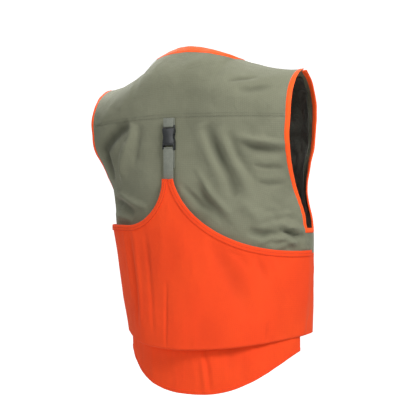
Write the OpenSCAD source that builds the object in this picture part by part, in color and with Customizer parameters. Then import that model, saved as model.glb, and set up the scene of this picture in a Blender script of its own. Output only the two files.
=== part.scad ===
// Upland game vest, size XL, standing open as if worn.
// Z is up, the front faces -Y and the wearer's left is +X.
// The origin is the middle of the neck opening, level with the neck ends of the shoulder seams.

/* [Overall size] */
// Length of the back, from the neckline down to the lowest point of the tail
back_length = 772; // [740:1:810]
// Width across the shoulders, from armhole to armhole
shoulder_span = 524; // [490:1:550]
// Width of the shell's section at the yoke seam, before the armholes are cut
yoke_girth_width = 634; // [620:1:680]
// Width at the foot of the armholes
armpit_width = 500; // [480:1:520]
// Width at the waist
waist_width = 474; // [450:1:500]
// Width at the hem
hem_width = 442; // [430:1:470]
// How far the upper back stands behind the shoulder seams
back_depth = 137; // [120:1:150]
// How far the front edges stand before the shoulder seams, at the foot of the vee
chest_depth = 128; // [115:1:145]
// How far the hem hangs over towards the wearer's right
hang_shift = 30; // [0:1:36]

/* [Neck and shoulders] */
// Distance between the neck ends of the two shoulder seams
neck_width = 204; // [180:1:220]
// How far the back of the neckline lies behind the shoulder seams
neck_depth = 68; // [55:1:80]
// How far the back of the neckline rises above the shoulder seams
neck_rise = 26; // [15:1:36]
// Depth of the front vee
vee_drop = 200; // [180:1:230]
// Fall of each shoulder seam from neck to armhole
shoulder_drop = 44; // [34:1:56]
// How much lower the left shoulder hangs than the right one
shoulder_tilt = 16; // [0:1:24]
// Drop of the yoke seam below the back of the neckline
yoke_drop = 168; // [150:1:190]
// Drop of the foot of the armholes
armhole_drop = 384; // [350:1:400]

/* [Cloth] */
// Thickness of the outer cloth with its seam allowance
cloth = 2; // [1.4:0.1:2.6]
// Thickness of the lining
lining = 1; // [0.6:0.1:1.4]
// Gap between two layers of cloth
layer_gap = 0.8; // [0.5:0.1:1.2]
// Gap along a seam between two panels
seam_gap = 0.4; // [0.3:0.1:0.8]
// Width of the folded binding on the neckline and the armholes
binding_width = 10; // [8:0.5:12]
// Thickness of the binding, which folds round the cloth
binding_thickness = 3.4; // [3:0.1:4]

/* [Game pouch] */
// Drop of the top of the pouch, where its strap is sewn in
pouch_top_drop = 276; // [262:1:290]
// Fall of the mouth on the wearer's left, below the pouch top
mouth_fall_left = 103; // [90:1:120]
// Fall of the mouth on the wearer's right, below the pouch top
mouth_fall_right = 157; // [140:1:165]
// Drop of the fold at the bottom of the pouch
pouch_fold_drop = 650; // [635:1:665]
// How far the bottom of the pouch stands off the back panel
pouch_bulge = 22; // [18:1:26]
// Gap between the strap and the facing of the pouch's spike
strap_clear = 1.9; // [1.4:0.1:3]
// How far the sides of the pouch stand off the side panels
pouch_side_lift = 6.6; // [6:0.2:9]
// Width of the facing behind the mouth
facing_width = 20; // [14:1:26]

/* [Tail and hem] */
// Drop of the tail's corners at the sides
tail_corner_drop = 655; // [645:1:670]
// Width of the tail's hem
tail_hem_width = 8; // [6:0.5:10]
// Drop of the hem of the two fronts
hem_drop = 626; // [610:1:635]
// Drop of the seam above the orange side panel, on the wearer's left
side_seam_left = 425; // [415:1:440]
// Drop of the seam above the orange side panel, on the wearer's right
side_seam_right = 440; // [430:1:455]

/* [Strap and buckle] */
// Width of the webbing
webbing_width = 25; // [20:1:26]
// Thickness of the webbing
webbing = 1.4; // [1:0.1:1.6]
// How far the side-release buckle stands out past the webbing on each side
buckle_cheek = 2.2; // [2:0.1:3.5]
// Thickness of the buckle
buckle_depth = 9; // [8.4:0.2:10]
// Length of the buckle's socket
socket_length = 40; // [38:1:46]
// Length of the part of the plug that shows below the socket
plug_length = 13; // [12:0.5:16]
// Play between the plug and the socket
buckle_play = 0.4; // [0.3:0.05:0.6]

/* [Fronts and pockets] */
// Gap between the two rows of zip teeth when the vest hangs open
front_gap = 14; // [13:1:30]
// Play along the fold line of each front
fold_play = 0.8; // [0.6:0.1:1.5]
// Width of each lower pocket
pocket_width = 116; // [100:1:118]
// Height of each lower pocket
pocket_height = 150; // [120:1:155]
// How far each pocket stands off the front
pocket_depth = 20; // [14:1:24]
// Drop of each pocket's mouth
pocket_drop = 446; // [444:1:452]
// Height of each pocket flap
flap_height = 58; // [45:1:70]
// Diameter of the snap caps
snap_diameter = 14; // [10:1:16]

/* [Zip] */
// Width of the zip tape on each side
tape_width = 6; // [5:0.5:9]
// Width of a row of teeth
teeth_width = 2.6; // [2.2:0.1:3]
// Thickness of a row of teeth
teeth_depth = 2.6; // [2.2:0.1:3]
// Length of the slider
slider_length = 13; // [11:1:16]
// Width of the slider
slider_width = 9; // [8.4:0.2:9.6]
// Thickness of the slider
slider_depth = 6.4; // [6:0.2:7]
// Length of the pull
pull_length = 34; // [24:1:40]

/* [Hidden] */

LEFT = 1;
RIGHT = -1;
OLIVE = [0.46, 0.47, 0.38];
ORANGE = [0.95, 0.31, 0.13];
BLACK = [0.13, 0.14, 0.15];
DARK = [0.2, 0.21, 0.2];
BRASS = [0.72, 0.58, 0.3];

// Levels down the vest
z_yoke = neck_rise - yoke_drop;
z_tail = neck_rise - back_length;
z_armpit = -armhole_drop;
z_vee = -vee_drop;
z_panel_foot = -hem_drop + 22;
z_pouch_top = -pouch_top_drop;

// The shell's horizontal sections are two half ellipses on a common width
section_top = 60;
section_foot = z_tail - 40;
waist_level = -520;
tip_x = shoulder_span / 2;
neck_r = neck_width / 2;
SIDE_ANGLE = 84;            // where the armhole turns under the arm, in degrees from the back
NECK_SHARE = 6 / 14;        // share of the yoke's columns that fall on the neckline
SHOULDER_ROLL = 95;         // height over which a shoulder rounds into the back
ROW_BUNCH = 1.7;            // how closely the rows of a panel bunch up at the shoulder
front_lean = 0.1636;        // how far the front edge comes forward per unit of drop
width_knots = [[section_foot, hem_width / 2 - 5], [-hem_drop, hem_width / 2],
    [waist_level, waist_width / 2], [z_armpit, armpit_width / 2],
    [-300, armpit_width / 2 - 4], [-240, mix(armpit_width, yoke_girth_width, 0.32) / 2],
    [-190, mix(armpit_width, yoke_girth_width, 0.85) / 2], [z_yoke, yoke_girth_width / 2],
    [section_top, yoke_girth_width / 2]];
back_knots = [[section_foot, back_depth - 2], [-hem_drop, back_depth - 5], [-500, back_depth - 9],
    [z_armpit, back_depth - 3], [z_pouch_top, back_depth], [z_yoke, back_depth],
    [section_top, back_depth - 9]];
middle_knots = [[section_foot, -35], [-450, -35], [-300, -14], [z_yoke, 0], [section_top, 0]];
TIP_ANGLE = asin(tip_x / (yoke_girth_width / 2));
edge_knots = [[section_foot, SIDE_ANGLE], [z_armpit, SIDE_ANGLE], [-345, SIDE_ANGLE - 0.7],
    [-300, SIDE_ANGLE - 5], [-240, mix(TIP_ANGLE, SIDE_ANGLE, 0.38)],
    [-190, mix(TIP_ANGLE, SIDE_ANGLE, 0.05)], [z_yoke, TIP_ANGLE], [section_top, TIP_ANGLE]];
hang_lean = hang_shift / (hem_drop - vee_drop);

// Small helpers
function mix(a, b, t) = a + (b - a) * t;
function clamp(t) = min(1, max(0, t));
function ease(t) = let (c = clamp(t)) c * c * (3 - 2 * c);

// A smooth curve through [place, value] knots
function knot_at(k, t) = max([for (j = [0:len(k) - 2]) t >= k[j][0] ? j : 0]);
function knot_slope(k, i) = let (a = max(i - 1, 0), b = min(i + 1, len(k) - 1))
    (k[b][1] - k[a][1]) / (k[b][0] - k[a][0]);
function curve(k, t) = let (
        i = knot_at(k, t), h = k[i + 1][0] - k[i][0], s = clamp((t - k[i][0]) / h),
        m0 = knot_slope(k, i) * h, m1 = knot_slope(k, i + 1) * h)
    k[i][1] * (1 + s * s * (2 * s - 3)) + m0 * s * (1 - s) * (1 - s)
    + k[i + 1][1] * s * s * (3 - 2 * s) + m1 * s * s * (s - 1);

function half_width(z) = curve(width_knots, z);
function back_y(z) = curve(back_knots, z);
function middle_y(z) = curve(middle_knots, z);
function front_y(z) = -chest_depth + front_lean * (z - z_vee);
function shift_x(z) = -hang_lean * max(0, z_vee - z);
function depth_at(phi, z) = cos(phi) >= 0 ? back_y(z) - middle_y(z) : middle_y(z) - front_y(z);

// A point of the shell at an angle from the back, a level and a distance outwards
function around(phi, z, off) = [shift_x(z) + (half_width(z) + off) * sin(phi),
    middle_y(z) + (depth_at(phi, z) + off) * cos(phi), z];
function arc_scale(phi, z) = norm([half_width(z) * cos(phi), depth_at(phi, z) * sin(phi)]);
function arc_angle(w, phi, z) = w * 180 / (PI * arc_scale(phi, z));

// The top line: the neckline in the middle, a shoulder seam on each side
function shoulder_share(x) = clamp((abs(x) - neck_r) / (tip_x - neck_r));
function top_z(x) = abs(x) < neck_r ? neck_rise * (1 - pow(x / neck_r, 2))
    : -shoulder_drop * (1 - pow(1 - shoulder_share(x), 1.8))
        - shoulder_tilt / 2 * shoulder_share(x) * sign(x);
function top_y(x) = abs(x) < neck_r ? neck_depth * sqrt(1 - pow(x / neck_r, 2)) : 0;
function roll_power(x) = mix(1, 0.6, ease(abs(x) / neck_r));
function roll_share(x, z) = sin(90 * pow(clamp((top_z(x) - z) / SHOULDER_ROLL), roll_power(x)));

// A shell point that is pulled in to the top line near the shoulder
function rolled(phi, z, off, top_x) = let (p = around(phi, z, off), g = roll_share(top_x, z))
    [p[0], mix(top_y(top_x), p[1], g), z + off * (1 - g)];

// The armholes' back edge and front edge, w in from the edge along the cloth
function edge_angle(z) = curve(edge_knots, z);
function back_edge(z, w) = let (e = edge_angle(z)) e - arc_angle(w, e, z);
function front_edge(z, w) = let (e = 180 - edge_angle(z)) e + arc_angle(w, e, z);

// The yoke: u runs from the right armhole to the left one, v from the top line to the seam
function seam_z(phi) = z_yoke - 7 * pow(sin(phi), 2);
function yoke_top_x(u, w, w_neck) = abs(u) < NECK_SHARE ? (neck_r + w_neck) * sin(90 * u / NECK_SHARE)
    : sign(u) * mix(neck_r + w_neck, tip_x - w, (abs(u) - NECK_SHARE) / (1 - NECK_SHARE));
function yoke_point(u, v, off, w, w_neck) = let (
        x = yoke_top_x(u, w, w_neck), low = u * back_edge(z_yoke - 7, w),
        start = w_neck / (SHOULDER_ROLL * 1.15) * cos(90 * clamp(abs(u) / NECK_SHARE)),
        down = mix(start, 1, v), z = mix(top_z(x), seam_z(low), down))
    rolled(mix(asin(x / half_width(z)), low, down), z, off, x);

// The back panel below the yoke seam
function back_point(u, v, off, w) = let (
        top = seam_z(u * back_edge(z_yoke - 7, w)) - seam_gap, z = mix(top, z_panel_foot, v))
    around(u * back_edge(z, w), z, off);

// The fold line on which a front swings, and the vee edge above it
fold_top = -92;
fold_foot_x = 0.85 * hem_width / 2;
fold_start = fold_top - 16;
function vee_x(z) = mix(neck_r, front_gap / 2, pow(clamp(-z / vee_drop), 1.6));
fold_head_x = vee_x(fold_top) + binding_width + 5;
function fold_x(z) = mix(fold_head_x, fold_foot_x, (fold_top - z) / (fold_top + hem_drop));
function inner_x(z, w) = z > fold_top ? vee_x(z) + w : fold_x(z) + fold_play;

// The fixed part of a front, from the vee and the fold line (u = 0) to the armhole (u = 1)
function shoulder_point(u, v, off, w, w_in, side) = let (
        x = mix(neck_r + w_in, tip_x - w, u), z0 = top_z(side * x), z = mix(z0, z_armpit - w, v),
        inner = front_angle(inner_x(z, w_in), z),
        inner0 = front_angle(inner_x(z0, w_in), z0),
        here0 = 180 - asin(x / half_width(z0)),
        phi = here0 + (1 - u) * (inner - inner0) + u * (front_edge(z, w) - front_edge(z0, w)),
        p = rolled(phi * side, z, off, side * x))
    p;
function front_angle(x, z) = 180 - asin(min(0.9999, x / half_width(z)));

// The swinging part of a front, from the fold line (u = 0) to the zip (u = 1)
zip_edge_x = front_gap / 2 + teeth_width + tape_width + 2 * seam_gap;
function centre_x(z, w) = z > z_vee ? max(vee_x(z) + w, zip_edge_x) : zip_edge_x;
function front_point(u, v, off, w, side) = let (
        z = mix(fold_start, -hem_drop, v),
        phi = mix(front_angle(fold_x(z) - fold_play, z),
            front_angle(centre_x(z, w), z), u))
    around(phi * side, z, off);

// One closed panel of cloth: point(u, v, off) gives its faces, off by half the thickness
module panel(point, columns, rows, thickness) {
    grid = function (off) [for (j = [0:rows]) for (i = [0:columns])
        point(i / columns, j / rows, off)];
    n = (columns + 1) * (rows + 1);
    at = function (i, j) j * (columns + 1) + i;
    middle = point(0.5, 0.5, 0);
    turn = cross(point(0.51, 0.5, 0) - middle, point(0.5, 0.51, 0) - middle)
        * (point(0.5, 0.5, 1) - middle);
    skins = [for (j = [0:rows - 1]) for (i = [0:columns - 1])
        let (a = at(i, j), b = at(i + 1, j), c = at(i + 1, j + 1), d = at(i, j + 1))
        each [[a, b, c], [a, c, d], [a + n, c + n, b + n], [a + n, d + n, c + n]]];
    ends = [for (i = [0:columns - 1])
        let (a = at(i, 0), b = at(i + 1, 0), d = at(i, rows), c = at(i + 1, rows))
        each [[a, a + n, b + n], [a, b + n, b], [d, c + n, d + n], [d, c, c + n]]];
    sides = [for (j = [0:rows - 1])
        let (a = at(0, j), d = at(0, j + 1), b = at(columns, j), c = at(columns, j + 1))
        each [[a, d + n, a + n], [a, d, d + n], [b, b + n, c + n], [b, c + n, c]]];
    faces = [for (f = concat(skins, ends, sides)) turn > 0 ? [f[2], f[1], f[0]] : f];
    polyhedron(concat(grid(thickness / 2), grid(-thickness / 2)), faces);
}

lining_off = -(cloth / 2 + 2 * layer_gap + lining / 2);
panel_inset = binding_width + 3 * seam_gap;

module back_yoke() {
    color(OLIVE) panel(function (u, v, off)
        yoke_point(2 * u - 1, pow(v, ROW_BUNCH), off, panel_inset, panel_inset), 28, 9, cloth);
}

module back_panel() {
    color(OLIVE) panel(function (u, v, off) back_point(2 * u - 1, v, off, panel_inset), 20, 20, cloth);
}

// The lining hangs inside the yoke and the back panel, in one piece
module back_lining() {
    yoke_rows = 0.3;
    color(DARK) panel(function (u, v, off)
        let (w = 2 * u - 1, inset = panel_inset + 2)
        v < yoke_rows ? yoke_point(w, mix(0.05, 1, v / yoke_rows), off + lining_off, inset, inset)
            : back_point(w, (v - yoke_rows) / (1 - yoke_rows), off + lining_off, inset), 20, 24, lining);
}

// Lower edge of the tail, a flat curve that turns up at the sides
TAIL_END = edge_angle(-tail_corner_drop) - 5;
tail_half = half_width(-tail_corner_drop) * sin(TAIL_END);
tail_power = 2.6;
function tail_z(x) = z_tail + (-tail_corner_drop - z_tail) * pow(min(1, abs(x) / tail_half), tail_power);
function tail_point(u, v, off, low) = let (
        phi = mix(-TAIL_END, TAIL_END, u),
        foot = tail_z(half_width(-tail_corner_drop) * sin(phi)) + low)
    around(phi, mix(z_panel_foot - seam_gap, foot, v), off);

module tail_panel() {
    color(ORANGE) panel(function (u, v, off)
        tail_point(u, v, off, tail_hem_width + seam_gap), 24, 5, cloth);
}

module tail_hem() {
    color(ORANGE) panel(function (u, v, off)
        let (a = tail_point(u, 1, off, tail_hem_width), b = tail_point(u, 1, off, 0)) mix(a, b, v),
        24, 1, cloth + 1);
}

// Strips under the arm: olive above the side seam, orange below it
function side_start(z) = back_edge(z, panel_inset) + arc_angle(seam_gap, SIDE_ANGLE, z);
module side_strip(side, top, foot, colour, rows) {
    color(colour) panel(function (u, v, off)
        let (z = mix(top, foot, v),
            phi = mix(side_start(z), front_angle(fold_x(z) + fold_play, z), u))
        around(side * phi, z, off), 8, rows, cloth);
}
module underarm(side, seam) {
    side_strip(side, z_armpit - panel_inset - seam_gap, -seam + seam_gap, OLIVE, 3);
}
module side_panel(side, seam) {
    side_strip(side, -seam, -hem_drop + 5, ORANGE, 6);
}

// Fixed part of each front, on the shoulder
module shoulder_front(side) {
    color(OLIVE) panel(function (u, v, off)
        shoulder_point(u, pow(v, ROW_BUNCH), off, panel_inset, panel_inset, side)
            + [0, -seam_gap * (1 - v), 0], 8, 18, cloth);
}
module shoulder_lining(side) {
    color(DARK) panel(function (u, v, off)
        shoulder_point(mix(0.06, 0.97, u), mix(0.03, 0.98, pow(v, ROW_BUNCH)), off + lining_off,
            panel_inset + 1, panel_inset + 2, side), 8, 15, lining);
}

// One binding runs from the left fold line up the vee, round the neck and down to the right one
module neck_binding() {
    vee_part = 0.25;
    vee_rim = function (side, t, w, off)
        let (z = mix(fold_top - 2, top_z(neck_r + w) - 2, 1 - pow(1 - t, ROW_BUNCH)))
        rolled(side * (180 - asin((vee_x(z) + w) / half_width(z))), z, off, side * (neck_r + w));
    color(ORANGE) panel(function (u, v, off)
        let (w = binding_width * v)
        u < vee_part ? vee_rim(RIGHT, u / vee_part, w, off)
            : u > 1 - vee_part ? vee_rim(LEFT, (1 - u) / vee_part, w, off)
            : yoke_point(mix(-NECK_SHARE, NECK_SHARE, (u - vee_part) / (1 - 2 * vee_part)), 0, off, 0, w),
        24, 1, binding_thickness);
}

// Binding of an armhole: down the back edge, under the arm and up the front edge
module armhole_binding(side) {
    foot = function (phi, w, off) around(side * phi, z_armpit - w, off);
    color(ORANGE) panel(function (u, v, off)
        let (w = binding_width * v, back_end = back_edge(z_armpit, w), front_end = front_edge(z_armpit, w))
        u < 0.2 ? yoke_point(side, pow(mix(0.1, 1, u / 0.2), ROW_BUNCH), off, w, 0)
            : u <= 0.42 ? back_reach(side, mix(z_yoke - 8, z_armpit, (u - 0.2) / 0.22), off, w)
            : u < 0.58 ? foot(mix(back_end, front_end, (u - 0.42) / 0.16), w, off)
            : shoulder_point(1, pow(mix(1, 0.06, (u - 0.58) / 0.42), ROW_BUNCH), off, w, 0, side),
        62, 1, binding_thickness);
}
function back_reach(side, z, off, w) =
    around(side * back_edge(z, w), z - w * clamp((z_armpit + 12 - z) / 12), off);

// A short loop inside the neck, to hang the vest by
module hanger_loop() {
    loop_half = 0.12;
    loop_stand = 4;
    loop_sag = 16;
    loop_height = 6;
    color(DARK) panel(function (u, v, off)
        let (w = mix(-loop_half, loop_half, u), p = yoke_point(w, 0.2, 0, 0, 0),
            sag = loop_sag * (1 - pow(w / loop_half, 2)))
        [p[0], p[1] - cloth - lining - layer_gap - loop_stand - off - sag * 0.35,
            p[2] - sag * 0.4 + loop_height * (0.5 - v)],
        10, 1, webbing);
}

// Webbing loop sewn into the yoke seam; it holds the buckle's bar
buckle_clear = 1;
buckle_stand = cloth / 2 + buckle_clear + buckle_depth / 2;
buckle_y = back_depth + buckle_stand;
buckle_width = webbing_width + 2 * buckle_cheek;
bar_radius = 1.8;
bar_z = z_yoke - 18;
loop_play = 0.5;
loop_inner = bar_radius + loop_play;
loop_outer = loop_inner + webbing;
module strap_anchor() {
    half = webbing_width / 2;
    leg = z_yoke - seam_gap - bar_z;
    color(DARK) translate([-half, buckle_y, bar_z]) rotate([90, 0, 90]) linear_extrude(webbing_width)
        difference() {
            union() {
                circle(loop_outer, $fn = 48);
                translate([-loop_outer, 0]) square([2 * loop_outer, leg]);
            }
            circle(loop_inner, $fn = 48);
            translate([-loop_inner, 0]) square([2 * loop_inner, leg + 1]);
        }
}

// Female half of the buckle: a flat case with a bar at the top and a window on each side
socket_top = bar_z + bar_radius;
socket_foot = socket_top - socket_length;
case_top = bar_z - loop_outer - 1.6;
cavity_width = buckle_width - 5;
cavity_depth = buckle_depth - 3.4;
module buckle_socket() {
    rail = 1.7;
    color(BLACK) translate([0, buckle_y, 0]) {
        difference() {
            union() {
                translate([-buckle_width / 2, -buckle_depth / 2, socket_foot])
                    cube([buckle_width, buckle_depth, case_top - socket_foot]);
                for (side = [LEFT, RIGHT])
                    translate([side * (buckle_width / 2 - rail / 2) - rail / 2, -bar_radius, case_top - 1])
                        cube([rail, 2 * bar_radius, socket_top - case_top + 1]);
            }
            translate([-cavity_width / 2, -cavity_depth / 2, socket_foot - 1])
                cube([cavity_width, cavity_depth, case_top - socket_foot - 1.5]);
            translate([-buckle_width, -cavity_depth / 2, socket_foot + 9])
                cube([2 * buckle_width, cavity_depth, 12]);
        }
        translate([-buckle_width / 2 + rail / 2, 0, bar_z]) rotate([0, 90, 0])
            cylinder(h = buckle_width - rail, r = bar_radius, $fn = 32);
    }
}

// Male half: a shoulder with a bar for the strap, a centre tongue and two spring arms
plug_top = socket_foot - buckle_play;
plug_foot = plug_top - plug_length;
slot_height = 5.6;
plug_bar_z = plug_foot + 2.2;
plug_bar_radius = 1.5;
tongue_width = 7;
arm_width = 2.6;
arm_length = 22;
arm_root = plug_top + 1;
arm_depth = cavity_depth - 2 * buckle_play;
barb = 1.5;
arm_x = cavity_width / 2 - buckle_play - barb - arm_width / 2;
module buckle_plug() {
    cheek = (buckle_width - webbing_width - 1.2) / 2;
    color(BLACK) translate([0, buckle_y, 0]) {
        difference() {
            translate([-buckle_width / 2, -buckle_depth / 2, plug_foot])
                cube([buckle_width, buckle_depth, plug_length]);
            translate([-buckle_width / 2 + cheek, -buckle_depth, plug_bar_z + 1.6])
                cube([buckle_width - 2 * cheek, 2 * buckle_depth, slot_height]);
            translate([-buckle_width / 2 + cheek, -buckle_depth, plug_foot - 1])
                cube([buckle_width - 2 * cheek, 2 * buckle_depth, plug_bar_z - plug_foot + 3]);
        }
        translate([-buckle_width / 2 + cheek / 2, 0, plug_bar_z]) rotate([0, 90, 0])
            cylinder(h = buckle_width - cheek, r = plug_bar_radius, $fn = 32);
        translate([-tongue_width / 2, -arm_depth / 2, plug_top - 1])
            cube([tongue_width, arm_depth, arm_length]);
    }
}
module plug_arm(side) {
    color(BLACK) translate([side * arm_x, buckle_y, arm_root]) {
        translate([-arm_width / 2, -arm_depth / 2, 0]) cube([arm_width, arm_depth, arm_length - 3]);
        translate([side > 0 ? 0 : -arm_width / 2 - barb, -arm_depth / 2, 9])
            cube([arm_width / 2 + barb, arm_depth, 8]);
    }
}

// The end of the strap folds over the plug's bar and hangs behind the strap
turn_inner = plug_bar_radius + 0.4;
tail_length = 42;
module strap_tail() {
    inner = turn_inner;
    color(DARK) translate([-webbing_width / 2, buckle_y, plug_bar_z]) rotate([90, 0, 90])
        linear_extrude(webbing_width)
            union() {
                difference() {
                    circle(inner + webbing, $fn = 48);
                    circle(inner, $fn = 48);
                    translate([-10, -20]) square([20, 20]);
                }
                translate([-inner - webbing, -tail_length]) square([webbing, tail_length]);
            }
}
strap_overlap = 8;
strap_top = plug_bar_z - 0.4;
module pouch_strap() {
    color(DARK) translate([-webbing_width / 2, buckle_y + turn_inner, z_pouch_top - strap_overlap])
        cube([webbing_width, webbing, strap_top - z_pouch_top + strap_overlap]);
}

// The game pouch: its mouth dips on both sides of the strap's spike
function mouth_z(x) = let (
        spike = webbing_width / 2,
        left = 1 - pow(1 - clamp((x - spike) / 97.5), 2),
        right = 1 - pow(1 - clamp((-x - spike) / 222.5), 2))
    z_pouch_top - mouth_fall_left * sqrt(left) - mouth_fall_right * pow(right, 0.7);
POUCH_END = 82;
facing_gap = 0.3;
pouch_lift = buckle_stand + turn_inner + webbing + strap_clear + lining + facing_gap + cloth / 2;
SPIKE_SHARE = 0.07;
pouch_reference = waist_width / 2 + 4;
function pouch_angle(w, z) = let (
        spike = asin(webbing_width / 2 / half_width(z)), t = (abs(w) - SPIKE_SHARE) / (1 - SPIKE_SHARE))
    t < 0 ? spike * w / SPIKE_SHARE : sign(w) * mix(spike, POUCH_END, pow(t, 1.5));
function pouch_off(phi, z) = mix(pouch_side_lift,
    mix(pouch_lift, pouch_bulge, ease((z_pouch_top - z) / 260)), pow(cos(phi), 2));
function fold_z(phi) = -pouch_fold_drop + 29 * pow(sin(phi), 2);
function pouch_point(w, z, off, in) = let (phi = pouch_angle(w, z))
    around(phi - asin(shift_x(z) / half_width(z)) * pow(cos(phi), 2), z, pouch_off(phi, z) + off - in);
function pouch_mouth(w) = mouth_z(pouch_reference * sin(pouch_angle(w, z_pouch_top)));

module pouch_panel() {
    color(ORANGE) panel(function (u, v, off)
        let (w = 2 * u - 1, foot = fold_z(pouch_angle(w, -pouch_fold_drop)))
        pouch_point(w, mix(pouch_mouth(w), foot, v), off, 0), 32, 12, cloth);
}
module pouch_facing() {
    color(ORANGE) panel(function (u, v, off)
        let (w = 2 * u - 1)
        pouch_point(w, pouch_mouth(w) - 1 - facing_width * v, off, cloth / 2 + facing_gap + lining / 2),
        32, 1, lining);
}
module pouch_floor() {
    floor_lift = 3;
    wall = 3.4;
    color(ORANGE) panel(function (u, v, off)
        let (w = mix(-0.93, 0.93, u), phi = pouch_angle(w, -pouch_fold_drop),
            z = fold_z(phi) + floor_lift,
            gap = pouch_off(phi, z) - cloth / 2 - seam_gap)
        pouch_point(w, z, 0, pouch_off(phi, z) - mix(wall, gap, v)) + [0, 0, off], 24, 1, cloth);
}
module pouch_gusset(side, mouth_fall) {
    inner = cloth / 2 + 0.5;
    top = z_pouch_top - mouth_fall - facing_width - 6;
    color(ORANGE) panel(function (u, v, off)
        let (z = mix(top, -hem_drop + 26, v), phi = edge_angle(z) - mix(15, 10, u),
            outer = pouch_off(phi, z) - cloth / 2 - 0.8,
            reach = mix(inner, outer, off + 0.5))
        around(side * phi, z, reach), 2, 10, 1);
}

// Swinging parts of the fronts
module front(side) {
    color(OLIVE) panel(function (u, v, off) front_point(u, v, off, panel_inset, side), 8, 18, cloth);
}
module front_lining(side) {
    color(DARK) panel(function (u, v, off)
        front_point(mix(0.04, 0.96, u), mix(0.04, 0.99, v), off + lining_off, panel_inset, side),
        6, 10, lining);
}
module vee_binding(side) {
    color(ORANGE) panel(function (u, v, off)
        let (z = mix(fold_start, z_vee - 2, u))
        around(side * front_angle(vee_x(z) + binding_width * v, z), z, off),
        10, 1, binding_thickness);
}

// The zip lies along the straight front edge
zip_lean = atan(hang_lean);
zip_angle = atan(front_lean * cos(zip_lean));
zip_length = (hem_drop - vee_drop - 8) / cos(zip_angle) / cos(zip_lean);
module along_front() {
    translate([shift_x(z_vee - 4), front_y(z_vee - 4), z_vee - 4])
        rotate([-zip_angle, zip_lean, 0]) children();
}
module zip_tape(side) {
    inner = front_gap / 2 + teeth_width + seam_gap;
    color(BLACK) along_front()
        translate([side > 0 ? inner : -inner - tape_width, -0.5, -zip_length])
            cube([tape_width - seam_gap, 1, zip_length - 4]);
}
module zip_teeth(side) {
    inner = front_gap / 2;
    color(BLACK) along_front()
        translate([side > 0 ? inner : -inner - teeth_width, -teeth_depth / 2, -zip_length + 12])
            cube([teeth_width, teeth_depth, zip_length - 16]);
}
module zip_box() {
    color(BLACK) along_front()
        translate([front_gap / 2 - 5, -2.4, -zip_length + 1]) cube([5 + teeth_width, 4.8, 10]);
}
module zip_pin() {
    color(BLACK) along_front()
        translate([-front_gap / 2 - teeth_width, -1.2, -zip_length + 1]) cube([teeth_width, 2.4, 10.6]);
}
slider_x = front_gap / 2 + teeth_width / 2;
slider_foot = -zip_length + 13;
bail_z = slider_foot + slider_length / 2;
module zip_slider() {
    play = 0.3;
    color(BLACK) along_front() {
        difference() {
            translate([slider_x - slider_width / 2, -slider_depth / 2, slider_foot])
                cube([slider_width, slider_depth, slider_length]);
            translate([slider_x - teeth_width / 2 - play, -teeth_depth / 2 - play, slider_foot - 1])
                cube([teeth_width + 2 * play, teeth_depth + 2 * play, slider_length + 2]);
            translate([slider_x, -0.5 - play, slider_foot - 1])
                cube([slider_width, 1 + 2 * play, slider_length + 2]);
        }
        difference() {
            translate([slider_x - 1.5, -slider_depth / 2 - 3.4, bail_z - 4])
                cube([3, 3.5, 8]);
            translate([slider_x - 2, -slider_depth / 2 - 2.2, bail_z - 2.2]) cube([4, 2.2, 4.4]);
        }
    }
}
module zip_pull() {
    ring_y = -slider_depth / 2 - 1.1;
    color(BLACK) along_front() {
        translate([slider_x - 2.4, ring_y, bail_z]) rotate([0, 90, 0])
            cylinder(h = 4.8, r = 0.7, $fn = 24);
        for (side = [LEFT, RIGHT])
            translate([slider_x + side * 2.4 - 0.6, ring_y - 0.7, bail_z - 6.4]) cube([1.2, 1.4, 7.1]);
        difference() {
            translate([slider_x - 4, ring_y - 3.4, bail_z - pull_length]) cube([8, 3.2, pull_length - 6]);
            translate([slider_x, ring_y - 5, bail_z - pull_length + 5]) rotate([-90, 0, 0])
                cylinder(h = 8, r = 1.8, $fn = 32);
        }
        translate([slider_x - 3, ring_y - 1.6, bail_z - 8.4]) cube([6, 2.3, 2.2]);
    }
}

// Lower pockets: a bellows wall that is open at the top
pocket_near = 28;
pocket_wall = cloth;
pocket_foot = -pocket_drop - pocket_height;
pocket_seat = cloth + 0.6;
function pocket_angle(u, z) =
    front_angle(mix(pocket_near, pocket_near + pocket_width, u), z);
function pocket_off(u, v) = mix(pocket_seat, pocket_depth,
    min(ease(u / 0.1), ease((1 - u) / 0.1), ease((1 - v) / 0.1)));
module pocket(side) {
    color(ORANGE) panel(function (u, v, off)
        let (z = mix(-pocket_drop, pocket_foot, v))
        around(side * pocket_angle(u, z), z, pocket_off(u, v) + off), 16, 12, pocket_wall);
}

// Each pocket flap swings on its sewn top edge
flap_lift = 3.6;
flap_over = 4;
function flap_z(v) = mix(-pocket_drop + 12, -pocket_drop - flap_height + 12, v);
function flap_off(v) = mix(pocket_seat + 0.8, pocket_depth + flap_lift, ease(v / 0.125));
module pocket_flap(side) {
    edge = flap_over / pocket_width;
    color(ORANGE) panel(function (u, v, off)
        around(side * pocket_angle(mix(-edge, 1 + edge, u), flap_z(v)), flap_z(v), flap_off(v) + off),
        12, 8, cloth);
}

// Snaps: a cap on the flap and a stud on the pocket
snap_level = flap_z(0.75);
module on_pocket(side, off) {
    spot = function (u, z) around(side * pocket_angle(u, z), z, off);
    p = spot(0.5, snap_level);
    n = side * cross(spot(0.5, snap_level - 1) - p, spot(0.51, snap_level) - p);
    translate(p) rotate([0, acos(n[2] / norm(n)), atan2(n[1], n[0])]) children();
}
module snap_cap(side) {
    color(BRASS) on_pocket(side, pocket_depth + flap_lift + cloth / 2 + 0.3)
        cylinder(h = 2.4, d = snap_diameter, $fn = 48);
}
module snap_stud(side) {
    color(BRASS) on_pocket(side, pocket_depth + cloth / 2 + 0.2)
        cylinder(h = 0.7, d = snap_diameter - 5, $fn = 48);
}

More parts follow.
